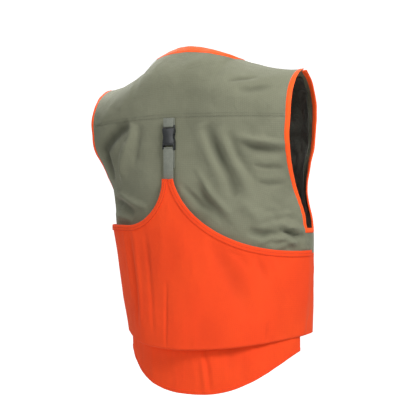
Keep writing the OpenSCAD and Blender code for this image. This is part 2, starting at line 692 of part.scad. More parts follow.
back_yoke();
back_panel();
back_lining();
tail_panel();
tail_hem();
underarm(LEFT, side_seam_left);  // underarm_left
underarm(RIGHT, side_seam_right);  // underarm_right
side_panel(LEFT, side_seam_left);  // side_panel_left
side_panel(RIGHT, side_seam_right);  // side_panel_right
shoulder_front(LEFT);  // left_shoulder_front
shoulder_front(RIGHT);  // right_shoulder_front
shoulder_lining(LEFT);  // left_shoulder_lining
shoulder_lining(RIGHT);  // right_shoulder_lining
neck_binding();
armhole_binding(LEFT);  // armhole_binding_left
armhole_binding(RIGHT);  // armhole_binding_right
hanger_loop();
strap_anchor();
pouch_gusset(LEFT, mouth_fall_left);  // pouch_gusset_left
pouch_gusset(RIGHT, mouth_fall_right);  // pouch_gusset_right
pouch_panel();
pouch_facing();
pouch_floor();
buckle_socket();
buckle_plug();
plug_arm(LEFT);  // plug_arm_left
plug_arm(RIGHT);  // plug_arm_right
strap_tail();
pouch_strap();
front(LEFT);  // left_front
front(RIGHT);  // right_front
front_lining(LEFT);  // left_front_lining
front_lining(RIGHT);  // right_front_lining
vee_binding(LEFT);  // left_vee_binding
vee_binding(RIGHT);  // right_vee_binding
zip_tape(LEFT);  // left_zip_tape
zip_tape(RIGHT);  // right_zip_tape
zip_teeth(LEFT);  // left_zip_teeth
zip_teeth(RIGHT);  // right_zip_teeth
zip_box();
zip_pin();
zip_slider();
zip_pull();
pocket(LEFT);  // left_pocket
pocket(RIGHT);  // right_pocket
pocket_flap(LEFT);  // left_pocket_flap
pocket_flap(RIGHT);  // right_pocket_flap
snap_stud(LEFT);  // left_snap_stud
snap_stud(RIGHT);  // right_snap_stud
snap_cap(LEFT);  // left_snap_cap
snap_cap(RIGHT);  // right_snap_cap
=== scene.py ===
import math
import bpy
import numpy as np
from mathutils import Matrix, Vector, noise


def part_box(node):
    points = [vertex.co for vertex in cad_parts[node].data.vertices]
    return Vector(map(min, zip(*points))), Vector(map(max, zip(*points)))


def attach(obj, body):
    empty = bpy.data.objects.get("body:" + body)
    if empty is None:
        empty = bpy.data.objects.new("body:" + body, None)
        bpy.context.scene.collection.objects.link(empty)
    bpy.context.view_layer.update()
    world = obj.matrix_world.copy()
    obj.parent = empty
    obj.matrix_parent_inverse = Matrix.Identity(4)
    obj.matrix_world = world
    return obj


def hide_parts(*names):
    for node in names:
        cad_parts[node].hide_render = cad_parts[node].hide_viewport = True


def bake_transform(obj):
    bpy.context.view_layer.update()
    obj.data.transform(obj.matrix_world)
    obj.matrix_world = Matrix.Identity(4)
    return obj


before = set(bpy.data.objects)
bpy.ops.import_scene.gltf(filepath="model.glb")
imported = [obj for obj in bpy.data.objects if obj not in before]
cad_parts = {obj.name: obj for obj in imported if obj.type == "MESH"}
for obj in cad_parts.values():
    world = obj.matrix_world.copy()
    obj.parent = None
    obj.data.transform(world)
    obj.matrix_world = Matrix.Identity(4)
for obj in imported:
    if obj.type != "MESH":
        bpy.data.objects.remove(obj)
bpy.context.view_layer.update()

MM = 0.001

# ---- The yoke and the back panel ----
# The vest's body is cut from olive cotton twill with a light ripstop grid. The yoke goes over both
# shoulders and is sewn to the back panel with a straight seam; binding covers their outer edges.
# All body pieces lie on one shell, whose level sections are two half ellipses.

def mix(a, b, t):
    return a + (b - a) * t

def clamp(t):
    return np.clip(t, 0.0, 1.0)

def ease(t):
    t = clamp(t)
    return t * t * (3 - 2 * t)

def curve(knots, t):
    """A smooth curve through (place, value) knots."""
    k = np.array(knots)
    n = np.arange(len(k))
    lo, hi = np.maximum(n - 1, 0), np.minimum(n + 1, len(k) - 1)
    slope = (k[hi, 1] - k[lo, 1]) / (k[hi, 0] - k[lo, 0])
    i = np.clip(np.searchsorted(k[:, 0], t, "right") - 1, 0, len(k) - 2)
    h = k[i + 1, 0] - k[i, 0]
    s = clamp((t - k[i, 0]) / h)
    return (k[i, 1] * (1 + s * s * (2 * s - 3)) + slope[i] * h * s * (1 - s) ** 2
            + k[i + 1, 1] * s * s * (3 - 2 * s) + slope[i + 1] * h * s * s * (s - 1))

WIDTH = [(-0.786, 0.216), (-0.626, 0.221), (-0.52, 0.237), (-0.384, 0.25), (-0.3, 0.246),
         (-0.24, 0.27144), (-0.19, 0.30695), (-0.142, 0.317), (0.06, 0.317)]
SIDE, TIP = math.radians(84), math.asin(0.262 / 0.317)
EDGE = [(-0.786, SIDE), (-0.384, SIDE), (-0.345, SIDE - 0.0122), (-0.3, SIDE - 0.0873),
        (-0.24, mix(TIP, SIDE, 0.38)), (-0.19, mix(TIP, SIDE, 0.05)), (-0.142, TIP), (0.06, TIP)]
BACK = [(-0.786, 0.135), (-0.626, 0.132), (-0.5, 0.128), (-0.384, 0.134), (-0.276, 0.137),
        (-0.142, 0.137), (0.06, 0.128)]
MIDDLE = [(-0.786, -0.035), (-0.45, -0.035), (-0.3, -0.014), (-0.142, 0.0), (0.06, 0.0)]
LEAN = 0.03 / 0.426
NECK_R, TIP_X, NECK_SHARE = 0.102, 0.262, 6 / 14
Z_YOKE, Z_ARMPIT, Z_VEE, Z_PANEL_FOOT, Z_HEM, Z_TAIL = -0.142, -0.384, -0.2, -0.604, -0.626, -0.746

def half_width(z): return curve(WIDTH, z)
def shift_x(z): return -LEAN * np.maximum(0, -0.2 - z)
def middle_y(z): return curve(MIDDLE, z)
def front_y(z): return -0.128 + 0.1636 * (z - Z_VEE)
def depth_at(phi, z):
    return np.where(np.cos(phi) >= 0, curve(BACK, z) - middle_y(z), middle_y(z) - front_y(z))

def around(phi, z, off=0.0):
    phi, z, off = np.broadcast_arrays(phi, z, off)
    return np.stack([shift_x(z) + (half_width(z) + off) * np.sin(phi),
                     middle_y(z) + (depth_at(phi, z) + off) * np.cos(phi), z], -1)

def top_z(x):
    t = clamp((np.abs(x) - NECK_R) / (TIP_X - NECK_R))
    return np.where(np.abs(x) < NECK_R, 0.026 * (1 - (x / NECK_R) ** 2),
                    -0.044 * (1 - (1 - t) ** 1.8) - 0.008 * t * np.sign(x))

def top_y(x):
    return 0.068 * np.sqrt(np.clip(1 - (x / NECK_R) ** 2, 0, None))

def rolled(phi, z, off, top_x):
    """A shell point pulled in to the top line near the shoulder."""
    phi, z, off, top_x = np.broadcast_arrays(phi, z, off, top_x)
    p = around(phi, z, off)
    power = mix(1.0, 0.6, ease(np.abs(top_x) / NECK_R))
    g = np.sin(math.pi / 2 * clamp((top_z(top_x) - z) / 0.095) ** power)
    p[..., 1] = mix(top_y(top_x), p[..., 1], g)
    p[..., 2] += off * (1 - g)
    return p

def inward(w, phi, z):
    """The angle that a distance w along the cloth takes up."""
    return w / np.hypot(half_width(z) * np.cos(phi), depth_at(phi, z) * np.sin(phi))

def edge_angle(z): return curve(EDGE, z)
def back_edge(z, w):
    e = edge_angle(z)
    return e - inward(w, e, z)
def front_edge(z, w):
    e = math.pi - edge_angle(z)
    return e + inward(w, e, z)

def seam_z(phi): return Z_YOKE - 0.007 * np.sin(phi) ** 2

def yoke_point(u, v, off, w=0.0, w_neck=0.0):
    u, v, off, w, w_neck = np.broadcast_arrays(u, v, off, w, w_neck)
    share = clamp(np.abs(u) / NECK_SHARE)
    x = np.where(share < 1, (NECK_R + w_neck) * np.sin(math.pi / 2 * share) * np.sign(u),
                 np.sign(u) * mix(NECK_R + w_neck, TIP_X - w, (np.abs(u) - NECK_SHARE) / (1 - NECK_SHARE)))
    low = u * back_edge(Z_YOKE - 0.007 + 0 * u, w)
    start = w_neck / 0.10925 * np.cos(math.pi / 2 * share)
    down = mix(start, 1, v)
    z = mix(top_z(x), seam_z(low), down)
    return rolled(mix(np.arcsin(x / half_width(z)), low, down), z, off, x)

def back_point(u, v, off, w=0.0):
    u, v, off, w = np.broadcast_arrays(u, v, off, w)
    top = seam_z(u * back_edge(Z_YOKE - 0.007 + 0 * u, w)) - 0.0004
    z = mix(top, Z_PANEL_FOOT, v)
    return around(u * back_edge(z, w), z, off)

def vee_x(z): return mix(NECK_R, 0.007, clamp(-z / 0.2) ** 1.6)
FOLD_TOP, FOLD_START = -0.092, -0.0945
FOLD_HEAD = float(vee_x(FOLD_TOP)) + 0.015
def fold_x(z): return mix(FOLD_HEAD, 0.18785, (FOLD_TOP - z) / (FOLD_TOP - Z_HEM))
def inner_x(z, w): return np.where(z > FOLD_TOP, vee_x(z) + w, fold_x(z) + 0.0001)
def front_angle(x, z): return math.pi - np.arcsin(np.minimum(x / half_width(z), 0.9999))

def shoulder_point(u, v, off, side, w=0.0, w_in=0.0):
    u, v, off, w, w_in = np.broadcast_arrays(u, v, off, w, w_in)
    x = mix(NECK_R + w_in, TIP_X - w, u)
    z0 = top_z(side * x)
    z = mix(z0, Z_ARMPIT - w, v)
    here0 = math.pi - np.arcsin(x / half_width(z0))
    phi = (here0 + (1 - u) * (front_angle(inner_x(z, w_in), z) - front_angle(inner_x(z0, w_in), z0))
           + u * (front_edge(z, w) - front_edge(z0, w)))
    return rolled(phi * side, z, off, side * x)

ZIP_NEAR = 0.007   # from the middle to the teeth
ZIP_EDGE = ZIP_NEAR + 0.0026 + 0.006 + 0.0008
def centre_x(z, w): return np.where(z > Z_VEE, np.maximum(vee_x(z) + w, ZIP_EDGE), ZIP_EDGE)
def front_point(u, v, off, side, w=0.0):
    u, v, off, w = np.broadcast_arrays(u, v, off, w)
    z = mix(FOLD_START, Z_HEM, v)
    phi = mix(front_angle(fold_x(z) - 0.0001, z), front_angle(centre_x(z, w), z), u)
    return around(phi * side, z, off)

TAIL_END = SIDE - math.radians(5)
TAIL_HALF = float(half_width(-0.655)) * math.sin(TAIL_END)
def tail_z(x): return Z_TAIL + (-0.655 - Z_TAIL) * np.minimum(1, np.abs(x) / TAIL_HALF) ** 2.6
def tail_point(u, v, off, low=0.0):
    u, v, off, low = np.broadcast_arrays(u, v, off, low)
    phi = mix(-TAIL_END, TAIL_END, u)
    foot = tail_z(half_width(-0.655 + 0 * phi) * np.sin(phi)) + low
    return around(phi, mix(Z_PANEL_FOOT - 0.0004, foot, v), off)

def mouth_z(x):
    left = 1 - (1 - clamp((x - 0.0125) / 0.0975)) ** 2
    right = 1 - (1 - clamp((-x - 0.0125) / 0.2225)) ** 2
    return -0.276 - 0.103 * np.sqrt(left) - 0.157 * right ** 0.7
def pouch_angle(w, z):
    spike = np.arcsin(0.0125 / half_width(z))
    t = clamp((np.abs(w) - 0.07) / 0.93)
    return np.where(np.abs(w) < 0.07, spike * w / 0.07, np.sign(w) * mix(spike, math.radians(90), t ** 1.5))
def pouch_off(phi, z):
    edge = mix(0.0018, 0.0066, ease(np.abs(np.cos(phi)) / 0.16))
    return mix(edge, mix(0.014, 0.022, ease((-0.276 - z) / 0.26)), np.cos(phi) ** 2)
def fold_z(phi): return -0.65 + 0.029 * np.sin(phi) ** 2
def pouch_point(w, z, off, inset=0.0):
    w, z, off, inset = np.broadcast_arrays(w, z, off, inset)
    phi = pouch_angle(w, z)
    turned = phi - np.arcsin(shift_x(z) / half_width(z)) * np.cos(phi) ** 2
    return around(turned, z, pouch_off(phi, z) + off - inset)
def pouch_mouth(w): return mouth_z(0.241 * np.sin(pouch_angle(w, -0.276 + 0 * w)))

def unit(way):
    return way / np.linalg.norm(way, axis=-1, keepdims=True)

def rumple(points, size, height, stretch=(1, 1, 1), seed=0.0):
    """Soft unevenness of cloth: noise of the given size, longer along the stretched axes."""
    scale = 1 / (size * np.array(stretch))
    flat = points.reshape(-1, 3) * scale + seed
    return height * np.array([noise.noise(Vector(p)) for p in flat]).reshape(points.shape[:-1])

def fold(points, path, width, height):
    """A fold that runs along a path and fades out at both of its ends; its measures are in mm."""
    path, width, height = np.array(path, float) / 1000, width / 1000, height / 1000
    flat = points.reshape(-1, 3)
    near = np.full(len(flat), 1e9)
    place = np.zeros(len(flat))
    steps = np.linalg.norm(np.diff(path, axis=0), axis=1)
    gone = 0.0
    for a, b, step in zip(path[:-1], path[1:], steps):
        t = clamp((flat - a) @ (b - a) / step ** 2)
        away = np.linalg.norm(flat - a - t[:, None] * (b - a), axis=1)
        closer = away < near
        near[closer] = away[closer]
        place[closer] = (gone + t[closer] * step) / steps.sum()
        gone += step
    fade = np.clip(np.sin(np.pi * place), 0, 1) ** 0.6
    return (height * fade * np.exp(-(near / width) ** 2)).reshape(points.shape[:-1])

BODY_FOLDS = [
    # the slack beside the left armhole, below the yoke seam
    ([(118, 132, -150), (150, 122, -163), (176, 113, -178), (211, 92, -203), (205, 90, -239), (190, 83,
     -275)], 13.5, -8.5),
    ([(128, 128, -190), (145, 120, -225), (150, 112, -270)], 10, 4.5),
    # under the left shoulder blade, falling from the yoke towards the armhole
    ([(104, 130, -150), (114, 128, -185), (132, 120, -230), (150, 104, -280)], 11, 5.5),
    ([(86, 132, -152), (92, 130, -200), (104, 125, -250)], 9, -2.5),
    # long diagonals from the middle of the yoke seam down to the wearer's right
    ([(-70, 133, -155), (-88, 131, -215), (-112, 120, -269), (-125, 116, -320)], 15, 4.2),
    ([(-85, 133, -160), (-110, 128, -215), (-136, 117, -270), (-158, 106, -335)], 14, -6.2),
    ([(-115, 129, -165), (-140, 120, -235), (-168, 105, -290), (-185, 94, -340)], 14, 4.5),
    ([(-135, 124, -175), (-160, 113, -235), (-190, 95, -290)], 11, -3),
    ([(-30, 136, -290), (-50, 133, -310), (-75, 129, -335), (-100, 124, -350)], 6, -3),
    ([(-60, 136, -250), (-85, 130, -290), (-100, 126, -330)], 6, 2),
    # short level wrinkles behind the right armhole
    ([(-150, 122, -186), (-186, 109, -196), (-220, 93, -200), (-251, 72, -205)], 8, 4),
    ([(-160, 118, -200), (-190, 105, -213), (-222, 88, -218), (-249, 70, -220)], 9, -4.5),
    ([(-183, 103, -236), (-208, 87, -242), (-240, 60, -243)], 9, 1.8),
    ([(-183, 100, -249), (-208, 85, -254), (-240, 56, -254)], 4.2, -2.2),
    ([(-184, 95, -272), (-208, 78, -277), (-238, 50, -271)], 9, 1.8),
    ([(-190, 90, -285), (-210, 75, -290), (-238, 45, -287)], 4.5, -1.8),
    # creases on the right shoulder
    ([(-126, 115, -66), (-151, 99, -63), (-185, 79, -60)], 6, -3.5),
    ([(-150, 112, -86), (-181, 103, -88), (-222, 83, -78)], 9, -4),
    ([(-200, 85, -100), (-230, 70, -88), (-252, 58, -80)], 6, 3),
    # drag lines above the mouth of the game pouch
    ([(-60, 132, -285), (-84, 128, -320), (-112, 121, -352), (-140, 112, -380)], 11, -3.4),
    ([(-80, 130, -285), (-105, 124, -320), (-135, 113, -355)], 8, 3.5),
    ([(-148, 110, -314), (-175, 97, -345), (-200, 83, -372)], 12, 4.5),
    ([(-170, 100, -385), (-200, 83, -398), (-230, 50, -392)], 9, -6),
    ([(-190, 85, -418), (-212, 69, -403), (-235, 47, -407), (-252, 20, -417)], 6, 5),
    ([(-225, 60, -372), (-245, 30, -384), (-258, 0, -390)], 6, 5),
    ([(-228, 60, -387), (-245, 30, -398), (-260, 0, -403)], 5, -5),
    ([(200, 60, -300), (160, 98, -310), (110, 118, -330), (66, 129, -340)], 8, 4),
    ([(200, 60, -320), (160, 98, -330), (110, 116, -350)], 9, -4.5),
    ([(205, 50, -355), (160, 95, -360), (120, 112, -370)], 8, 4),
]

def body_relief(p):
    """How far the body cloth stands out of its even shell at each point."""
    lift = rumple(p, 0.11, 0.0032) + rumple(p, 0.045, 0.0013, seed=7.0) + rumple(p, 0.022, 0.0008, seed=3.0)
    for path, width, height in BODY_FOLDS:
        lift = lift + 1.45 * fold(p, path, width, height)
    crumple = np.exp(-(np.linalg.norm(p - (-0.235, 0.03, -0.395), axis=-1) / 0.06) ** 2)
    lift = lift + crumple * rumple(p, 0.022, 0.006, (1, 1, 0.6), 11.0)
    centre = (np.exp(-(p[..., 0] / 0.03) ** 2) * clamp((p[..., 2] + 0.32) / 0.03)
              * clamp((-0.11 - p[..., 2]) / 0.03))
    lift = np.clip(lift, -0.0125, 0.011) * (1 - centre * (p[..., 1] > 0))
    zip_near = clamp((np.abs(p[..., 0] - shift_x(p[..., 2])) - 0.015) / 0.05)
    return lift * np.where(p[..., 1] < 0, mix(1.0, zip_near, clamp((-0.15 - p[..., 2]) / 0.05)), 1.0)

def skin(point, u, v, off, relief):
    """Points of a sheet, moved out along its own outward direction by its relief."""
    out = unit(point(u, v, off + MM) - point(u, v, off))
    lift = relief(point(u, v, 0 * u)) if relief else 0 * u
    return point(u, v, off) + out * lift[..., None]

def placed(name, mesh):
    obj = bpy.data.objects.new(name, mesh)
    bpy.context.collection.objects.link(obj)
    return obj

def activate(obj):
    bpy.ops.object.select_all(action="DESELECT")
    obj.select_set(True)
    bpy.context.view_layer.objects.active = obj

def solid_grid(name, outer, inner, lift=None):
    """A thin closed mesh from the grids of its two faces, with its own lengths as UVs in metres. How far
    its relief sinks at each point is kept as an attribute, which paints shade into the colour of its creases."""
    rows, columns = outer.shape[:2]
    count = rows * columns
    spots = np.concatenate([outer.reshape(-1, 3), inner.reshape(-1, 3)])
    i = np.arange(count).reshape(rows, columns)
    face = np.stack([i[:-1, :-1], i[:-1, 1:], i[1:, 1:], i[1:, :-1]], -1).reshape(-1, 4)
    rim = np.concatenate([i[0, :-1], i[:-1, -1], i[-1, :0:-1], i[:0:-1, 0]])
    after = np.roll(rim, -1)
    side = np.stack([after, rim, rim + count, after + count], -1)
    q = face[len(face) // 2]
    facing = np.cross(spots[q[1]] - spots[q[0]], spots[q[3]] - spots[q[0]])
    if facing @ (spots[q[0]] - spots[q[0] + count]) < 0:
        face, side = face[:, ::-1], side[:, ::-1]
    faces = np.concatenate([face, face[:, ::-1] + count, side])
    mesh = bpy.data.meshes.new(name)
    mesh.from_pydata(spots.tolist(), [], faces.tolist())
    across = np.cumsum(np.pad(np.linalg.norm(np.diff(outer, axis=1), axis=2), ((0, 0), (1, 0))), axis=1)
    across = across - across[:, columns // 2:columns // 2 + 1]
    down = np.cumsum(np.pad(np.linalg.norm(np.diff(outer, axis=0), axis=2), ((1, 0), (0, 0))), axis=0)
    uv = np.tile(np.stack([across, -down], -1).reshape(-1, 2), (2, 1))
    layer = mesh.uv_layers.new(name="cloth")
    corner = np.zeros(len(mesh.loops), np.int32)
    mesh.loops.foreach_get("vertex_index", corner)
    layer.data.foreach_set("uv", uv[corner].astype(np.float32).ravel())
    if lift is not None:
        # Painted shade: how deep each point lies in a crease, kept to darken the cloth's colour there.
        painted_crease_shade = np.tile(np.clip(-lift.ravel() / 0.009, 0, 1), 2).astype(np.float32)
        mesh.attributes.new("painted_crease_shade", "FLOAT", "POINT").data.foreach_set("value", painted_crease_shade)
    mesh.shade_smooth()
    mesh.set_sharp_from_angle(angle=math.radians(60))
    return placed(name, mesh)

def fit(obj, material, body, nodes=()):
    """Gives a piece its material and seats it on its body; a piece that bends has none here."""
    obj.data.materials.clear()
    obj.data.materials.append(material)
    if body:
        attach(obj, body)
    if nodes:
        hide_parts(*nodes)
    return obj

def sheet(name, point, step, thickness, material, body, nodes=(), relief=None, off=0.0, held="hung"):
    """A panel of cloth over u and v from 0 to 1, with a mesh step in metres."""
    trial = point(*np.meshgrid(np.linspace(0, 1, 12), np.linspace(0, 1, 12)), np.zeros((12, 12)))
    wide = np.linalg.norm(np.diff(trial, axis=1), axis=2).sum(1).max()
    long = np.linalg.norm(np.diff(trial, axis=0), axis=2).sum(0).max()
    u, v = np.meshgrid(np.linspace(0, 1, max(4, round(wide / step)) + 1),
                       np.linspace(0, 1, max(4, round(long / step)) + 1))
    outer = skin(point, u, v, off + thickness / 2 + 0 * u, relief)
    inner = skin(point, u, v, off - thickness / 2 + 0 * u, relief)
    lift = relief(point(u, v, 0 * u)) if relief else None
    obj = fit(solid_grid(name, outer, inner, lift), material, body, nodes)
    if held is None:
        return obj
    return obj

def group(name, inputs, outputs):
    tree = bpy.data.node_groups.new(name, "ShaderNodeTree")
    for kind, way in ((inputs, "INPUT"), (outputs, "OUTPUT")):
        for label, socket in kind:
            tree.interface.new_socket(label, in_out=way, socket_type="NodeSocket" + socket)
    return tree, tree.nodes.new("NodeGroupInput"), tree.nodes.new("NodeGroupOutput")

def node(tree, kind, links=(), **values):
    """Adds a node; links are (input, source socket), and values are properties or inputs."""
    n = tree.nodes.new("ShaderNode" + kind)
    for key, value in values.items():
        if hasattr(n, key):
            setattr(n, key, value)
    for key, value in values.items():
        if not hasattr(n, key):
            n.inputs[key.replace("_", " ")].default_value = value
    for key, source in links:
        tree.links.new(source, n.inputs[key])
    return n

def maths(tree, operation, a, b=None, c=None):
    n = tree.nodes.new("ShaderNodeMath")
    n.operation = operation
    for i, value in enumerate((a, b, c)):
        if value is None:
            continue
        if isinstance(value, (int, float)):
            n.inputs[i].default_value = value
        else:
            tree.links.new(value, n.inputs[i])
    return n.outputs[0]

def new_material(name):
    m = bpy.data.materials.new(name)
    m.use_nodes = True
    return m, m.node_tree, m.node_tree.nodes["Principled BSDF"]

def mixed(tree, factor, a, b):
    """A colour between a and b; each is a colour or a socket."""
    n = node(tree, "Mix", [("Factor", factor)], data_type="RGBA")
    for i, colour in ((6, a), (7, b)):
        if isinstance(colour, tuple):
            n.inputs[i].default_value = (*colour, 1)
        else:
            tree.links.new(colour, n.inputs[i])
    return n.outputs[2]

def bumped(tree, shader, height, strength, distance):
    n = node(tree, "Bump", [("Height", height)], Strength=strength, Distance=distance)
    tree.links.new(n.outputs["Normal"], shader.inputs["Normal"])
    return n

# Weave: plain weave at a pitch, with the thicker threads of a ripstop grid
weave, w_in, w_out = group("Weave", [("Vector", "Vector"), ("Pitch", "Float"), ("Grid", "Float")],
                           [("Height", "Float"), ("Grid lines", "Float")])
xyz = node(weave, "SeparateXYZ", [("Vector", w_in.outputs["Vector"])])
def wave(axis, size, power):
    turn = maths(weave, "MULTIPLY", maths(weave, "DIVIDE", xyz.outputs[axis], size), math.pi)
    return maths(weave, "POWER", maths(weave, "ABSOLUTE", maths(weave, "SINE", turn)), power)
threads = maths(weave, "MULTIPLY", wave(0, w_in.outputs["Pitch"], 0.6), wave(1, w_in.outputs["Pitch"], 0.6))
lines = maths(weave, "MAXIMUM", wave(0, w_in.outputs["Grid"], 24.0), wave(1, w_in.outputs["Grid"], 24.0))
height = maths(weave, "ADD", maths(weave, "MULTIPLY", threads, 0.45), maths(weave, "MULTIPLY", lines, 0.55))
weave.links.new(height, w_out.inputs["Height"])
weave.links.new(lines, w_out.inputs["Grid lines"])

# Mottle: broad and fine unevenness of dye and nap
mottle, m_in, m_out = group("Mottle", [("Vector", "Vector")], [("Broad", "Float"), ("Fine", "Float")])
for label, scale, detail in (("Broad", 9.0, 3.0), ("Fine", 160.0, 4.0)):
    n = node(mottle, "TexNoise", [("Vector", m_in.outputs["Vector"])], Scale=scale, Detail=detail,
             Roughness=0.6)
    mottle.links.new(n.outputs["Fac"], m_out.inputs[label])

def cloth_material(name, dark, light, rough=0.85, sheen=0.25, pitch=0.0006, grid=0.0042, line=0.12, bump=0.35,
                   tint=(1, 1, 1, 1), glow=0.0, crease=0.0, shade=0.75):
    m, tree, shader = new_material(name)
    shader.inputs["Sheen Weight"].default_value = sheen
    shader.inputs["Sheen Roughness"].default_value = 0.5
    shader.inputs["Sheen Tint"].default_value = tint
    shader.inputs["Specular IOR Level"].default_value = 0.25
    uv = node(tree, "UVMap", uv_map="cloth")
    space = node(tree, "TexCoord")
    cloth = node(tree, "Group", node_tree=weave)
    cloth.inputs["Pitch"].default_value, cloth.inputs["Grid"].default_value = pitch, grid
    tree.links.new(uv.outputs["UV"], cloth.inputs["Vector"])
    dye = node(tree, "Group", node_tree=mottle)
    tree.links.new(space.outputs["Object"], dye.inputs["Vector"])
    share = maths(tree, "ADD", maths(tree, "MULTIPLY", dye.outputs["Broad"], 0.75),
                  maths(tree, "MULTIPLY", dye.outputs["Fine"], 0.35))
    lined = mixed(tree, maths(tree, "MULTIPLY", cloth.outputs["Grid lines"], line),
                  mixed(tree, share, dark, light), tuple(c * 0.6 for c in dark))
    # Painted shade: the colour darkens by the shade factor where the relief sinks into a crease, whatever the
    # lamps do.
    painted_crease_shade = node(tree, "Attribute", attribute_name="painted_crease_shade")
    deep = mixed(tree, maths(tree, "MULTIPLY", painted_crease_shade.outputs["Fac"], shade), lined, tuple(c * 0.3 for c in dark))
    tree.links.new(deep, shader.inputs["Base Color"])
    # Painted glow: the cloth emits its own colour, so it looks brighter than its lamps light it.
    if glow:
        tree.links.new(deep, shader.inputs["Emission Color"])
        shader.inputs["Emission Strength"].default_value = glow
    tree.links.new(maths(tree, "ADD", maths(tree, "MULTIPLY", dye.outputs["Fine"], 0.16), rough - 0.08),
                   shader.inputs["Roughness"])
    relief = bumped(tree, shader, cloth.outputs["Height"], bump, 0.0003)
    if crease:
        soft = node(tree, "TexNoise", [("Vector", space.outputs["Object"])], Scale=34.0, Detail=6.0,
                    Roughness=0.62, Distortion=0.6)
        wider = node(tree, "Bump", [("Height", soft.outputs["Fac"])], Strength=crease, Distance=0.004)
        tree.links.new(wider.outputs["Normal"], relief.inputs["Normal"])
    return m

olive = cloth_material("olive_twill", (0.155, 0.160, 0.105), (0.232, 0.237, 0.165), line=0.3, crease=0.42,
                       tint=(0.8, 0.82, 0.7, 1))
INSET = 0.0092   # the cloth ends inside the binding's fold
sheet("yoke", lambda u, v, off: yoke_point(2 * u - 1, v ** 1.5, off, INSET, INSET), 0.0036, 0.0013,
      olive, "vest", ["back_yoke"], body_relief)
sheet("back_panel_cloth", lambda u, v, off: back_point(2 * u - 1, v, off, INSET), 0.0038, 0.0013,
      olive, "vest", ["back_panel"], body_relief)

def stitches(name, path, out, material, body, slot, pitch=0.0036, length=0.0027, radius=0.00032):
    """A row of lockstitches along a path; each is a short raised length of thread."""
    step = np.linalg.norm(np.diff(path, axis=0), axis=1)
    gone = np.concatenate([[0], np.cumsum(step)])
    at = np.arange(pitch / 2, gone[-1], pitch)
    def read(values, place):
        return np.stack([np.interp(place, gone, values[:, k]) for k in range(3)], -1)
    head, tail, up = read(path, at - length / 2), read(path, at + length / 2), read(out, at)
    cross = unit(np.cross(unit(tail - head), up))
    spots = []
    for place, girth, lift in ((0.0, 0.45, -0.6), (0.3, 1.0, 0.5), (0.7, 1.0, 0.5), (1.0, 0.45, -0.6)):
        middle = head + (tail - head) * place + up * radius * lift
        for a in (0.25, 0.75, 1.25, 1.75):
            spots.append(middle + radius * girth * (cross * math.cos(a * math.pi) + up * math.sin(a * math.pi)))
    spots = np.stack(spots, 1)
    one = [(3, 2, 1, 0), (12, 13, 14, 15)]
    one += [(4 * r + k, 4 * r + (k + 1) % 4, 4 * r + 4 + (k + 1) % 4, 4 * r + 4 + k)
            for r in range(3) for k in range(4)]
    faces = (np.array(one)[None] + 16 * np.arange(len(at))[:, None, None]).reshape(-1, 4)
    mesh = bpy.data.meshes.new(name)
    mesh.from_pydata(spots.reshape(-1, 3).tolist(), [], faces.tolist())
    mesh.shade_smooth()
    return fit(placed(name, mesh), material, body)

def thread_material(name, colour):
    m, tree, shader = new_material(name)
    space = node(tree, "TexCoord")
    ply = node(tree, "TexNoise", [("Vector", space.outputs["Object"])], Scale=900.0, Detail=2.0)
    base = mixed(tree, ply.outputs["Fac"], tuple(c * 0.7 for c in colour), colour)
    tree.links.new(base, shader.inputs["Base Color"])
    bumped(tree, shader, ply.outputs["Fac"], 0.4, 0.0002)
    shader.inputs["Roughness"].default_value = 0.55
    return m

def row_on(point, u, v, height, relief):
    """A path on a sheet at off = height, with its outward directions."""
    u, v = np.broadcast_arrays(np.asarray(u, float), np.asarray(v, float))
    low = skin(point, u, v, height + 0 * u, relief)
    return low, unit(skin(point, u, v, height + MM + 0 * u, relief) - low)

olive_thread = thread_material("olive_thread", (0.12, 0.125, 0.085))
run = np.linspace(0.012, 0.988, 260)
for name, v in (("yoke_stitches_low", 0.985), ("yoke_stitches_high", 0.945)):
    stitches(name, *row_on(lambda u, v, off: yoke_point(2 * u - 1, v, off, INSET, INSET), run, v, 0.0008,
                           body_relief), olive_thread, "vest", "olive_cloth")

# ---- The lining ----
# A thin dark nylon lining hangs inside the yoke, the back and both shoulders. It is sewn in along
# the bindings only, so that it lies looser than the outer cloth and crinkles.

nylon = cloth_material("lining_nylon", (0.035, 0.037, 0.03), (0.11, 0.112, 0.09), rough=0.4, sheen=0.1,
                       pitch=0.0004, grid=0.005, line=0.2, bump=0.2, crease=0.8)
LINING = -0.0031
def lining_relief(p):
    return body_relief(p) - np.abs(rumple(p, 0.028, 0.0075, (1, 1, 1.6), 5.0))
def back_lining(u, v, off):
    w = 2 * u - 1
    high = yoke_point(w, mix(0.05, 1, clamp(v / 0.3)), off + LINING, 0.0132, 0.0132)
    low = back_point(w, clamp((v - 0.3) / 0.7), off + LINING, 0.0132)
    return np.where((v < 0.3)[..., None], high, low)
sheet("back_lining_cloth", back_lining, 0.006, 0.0007, nylon, "vest", ["back_lining"],
      lining_relief)
for side, word in ((1, "left"), (-1, "right")):
    sheet(word + "_shoulder_lining_cloth",
          lambda u, v, off: shoulder_point(mix(0.06, 0.97, u), mix(0.03, 0.98, v ** 1.5), off + LINING, side,
                                           0.0122, 0.0132),
          0.006, 0.0007, nylon, "vest", [word + "_shoulder_lining"], lining_relief)

# ---- The fixed parts of the fronts and the strips under the arms ----
# Each front starts at the shoulder seam. Below the armhole an olive strip joins it to the back, and
# an orange side panel hangs from that strip down to the hem.

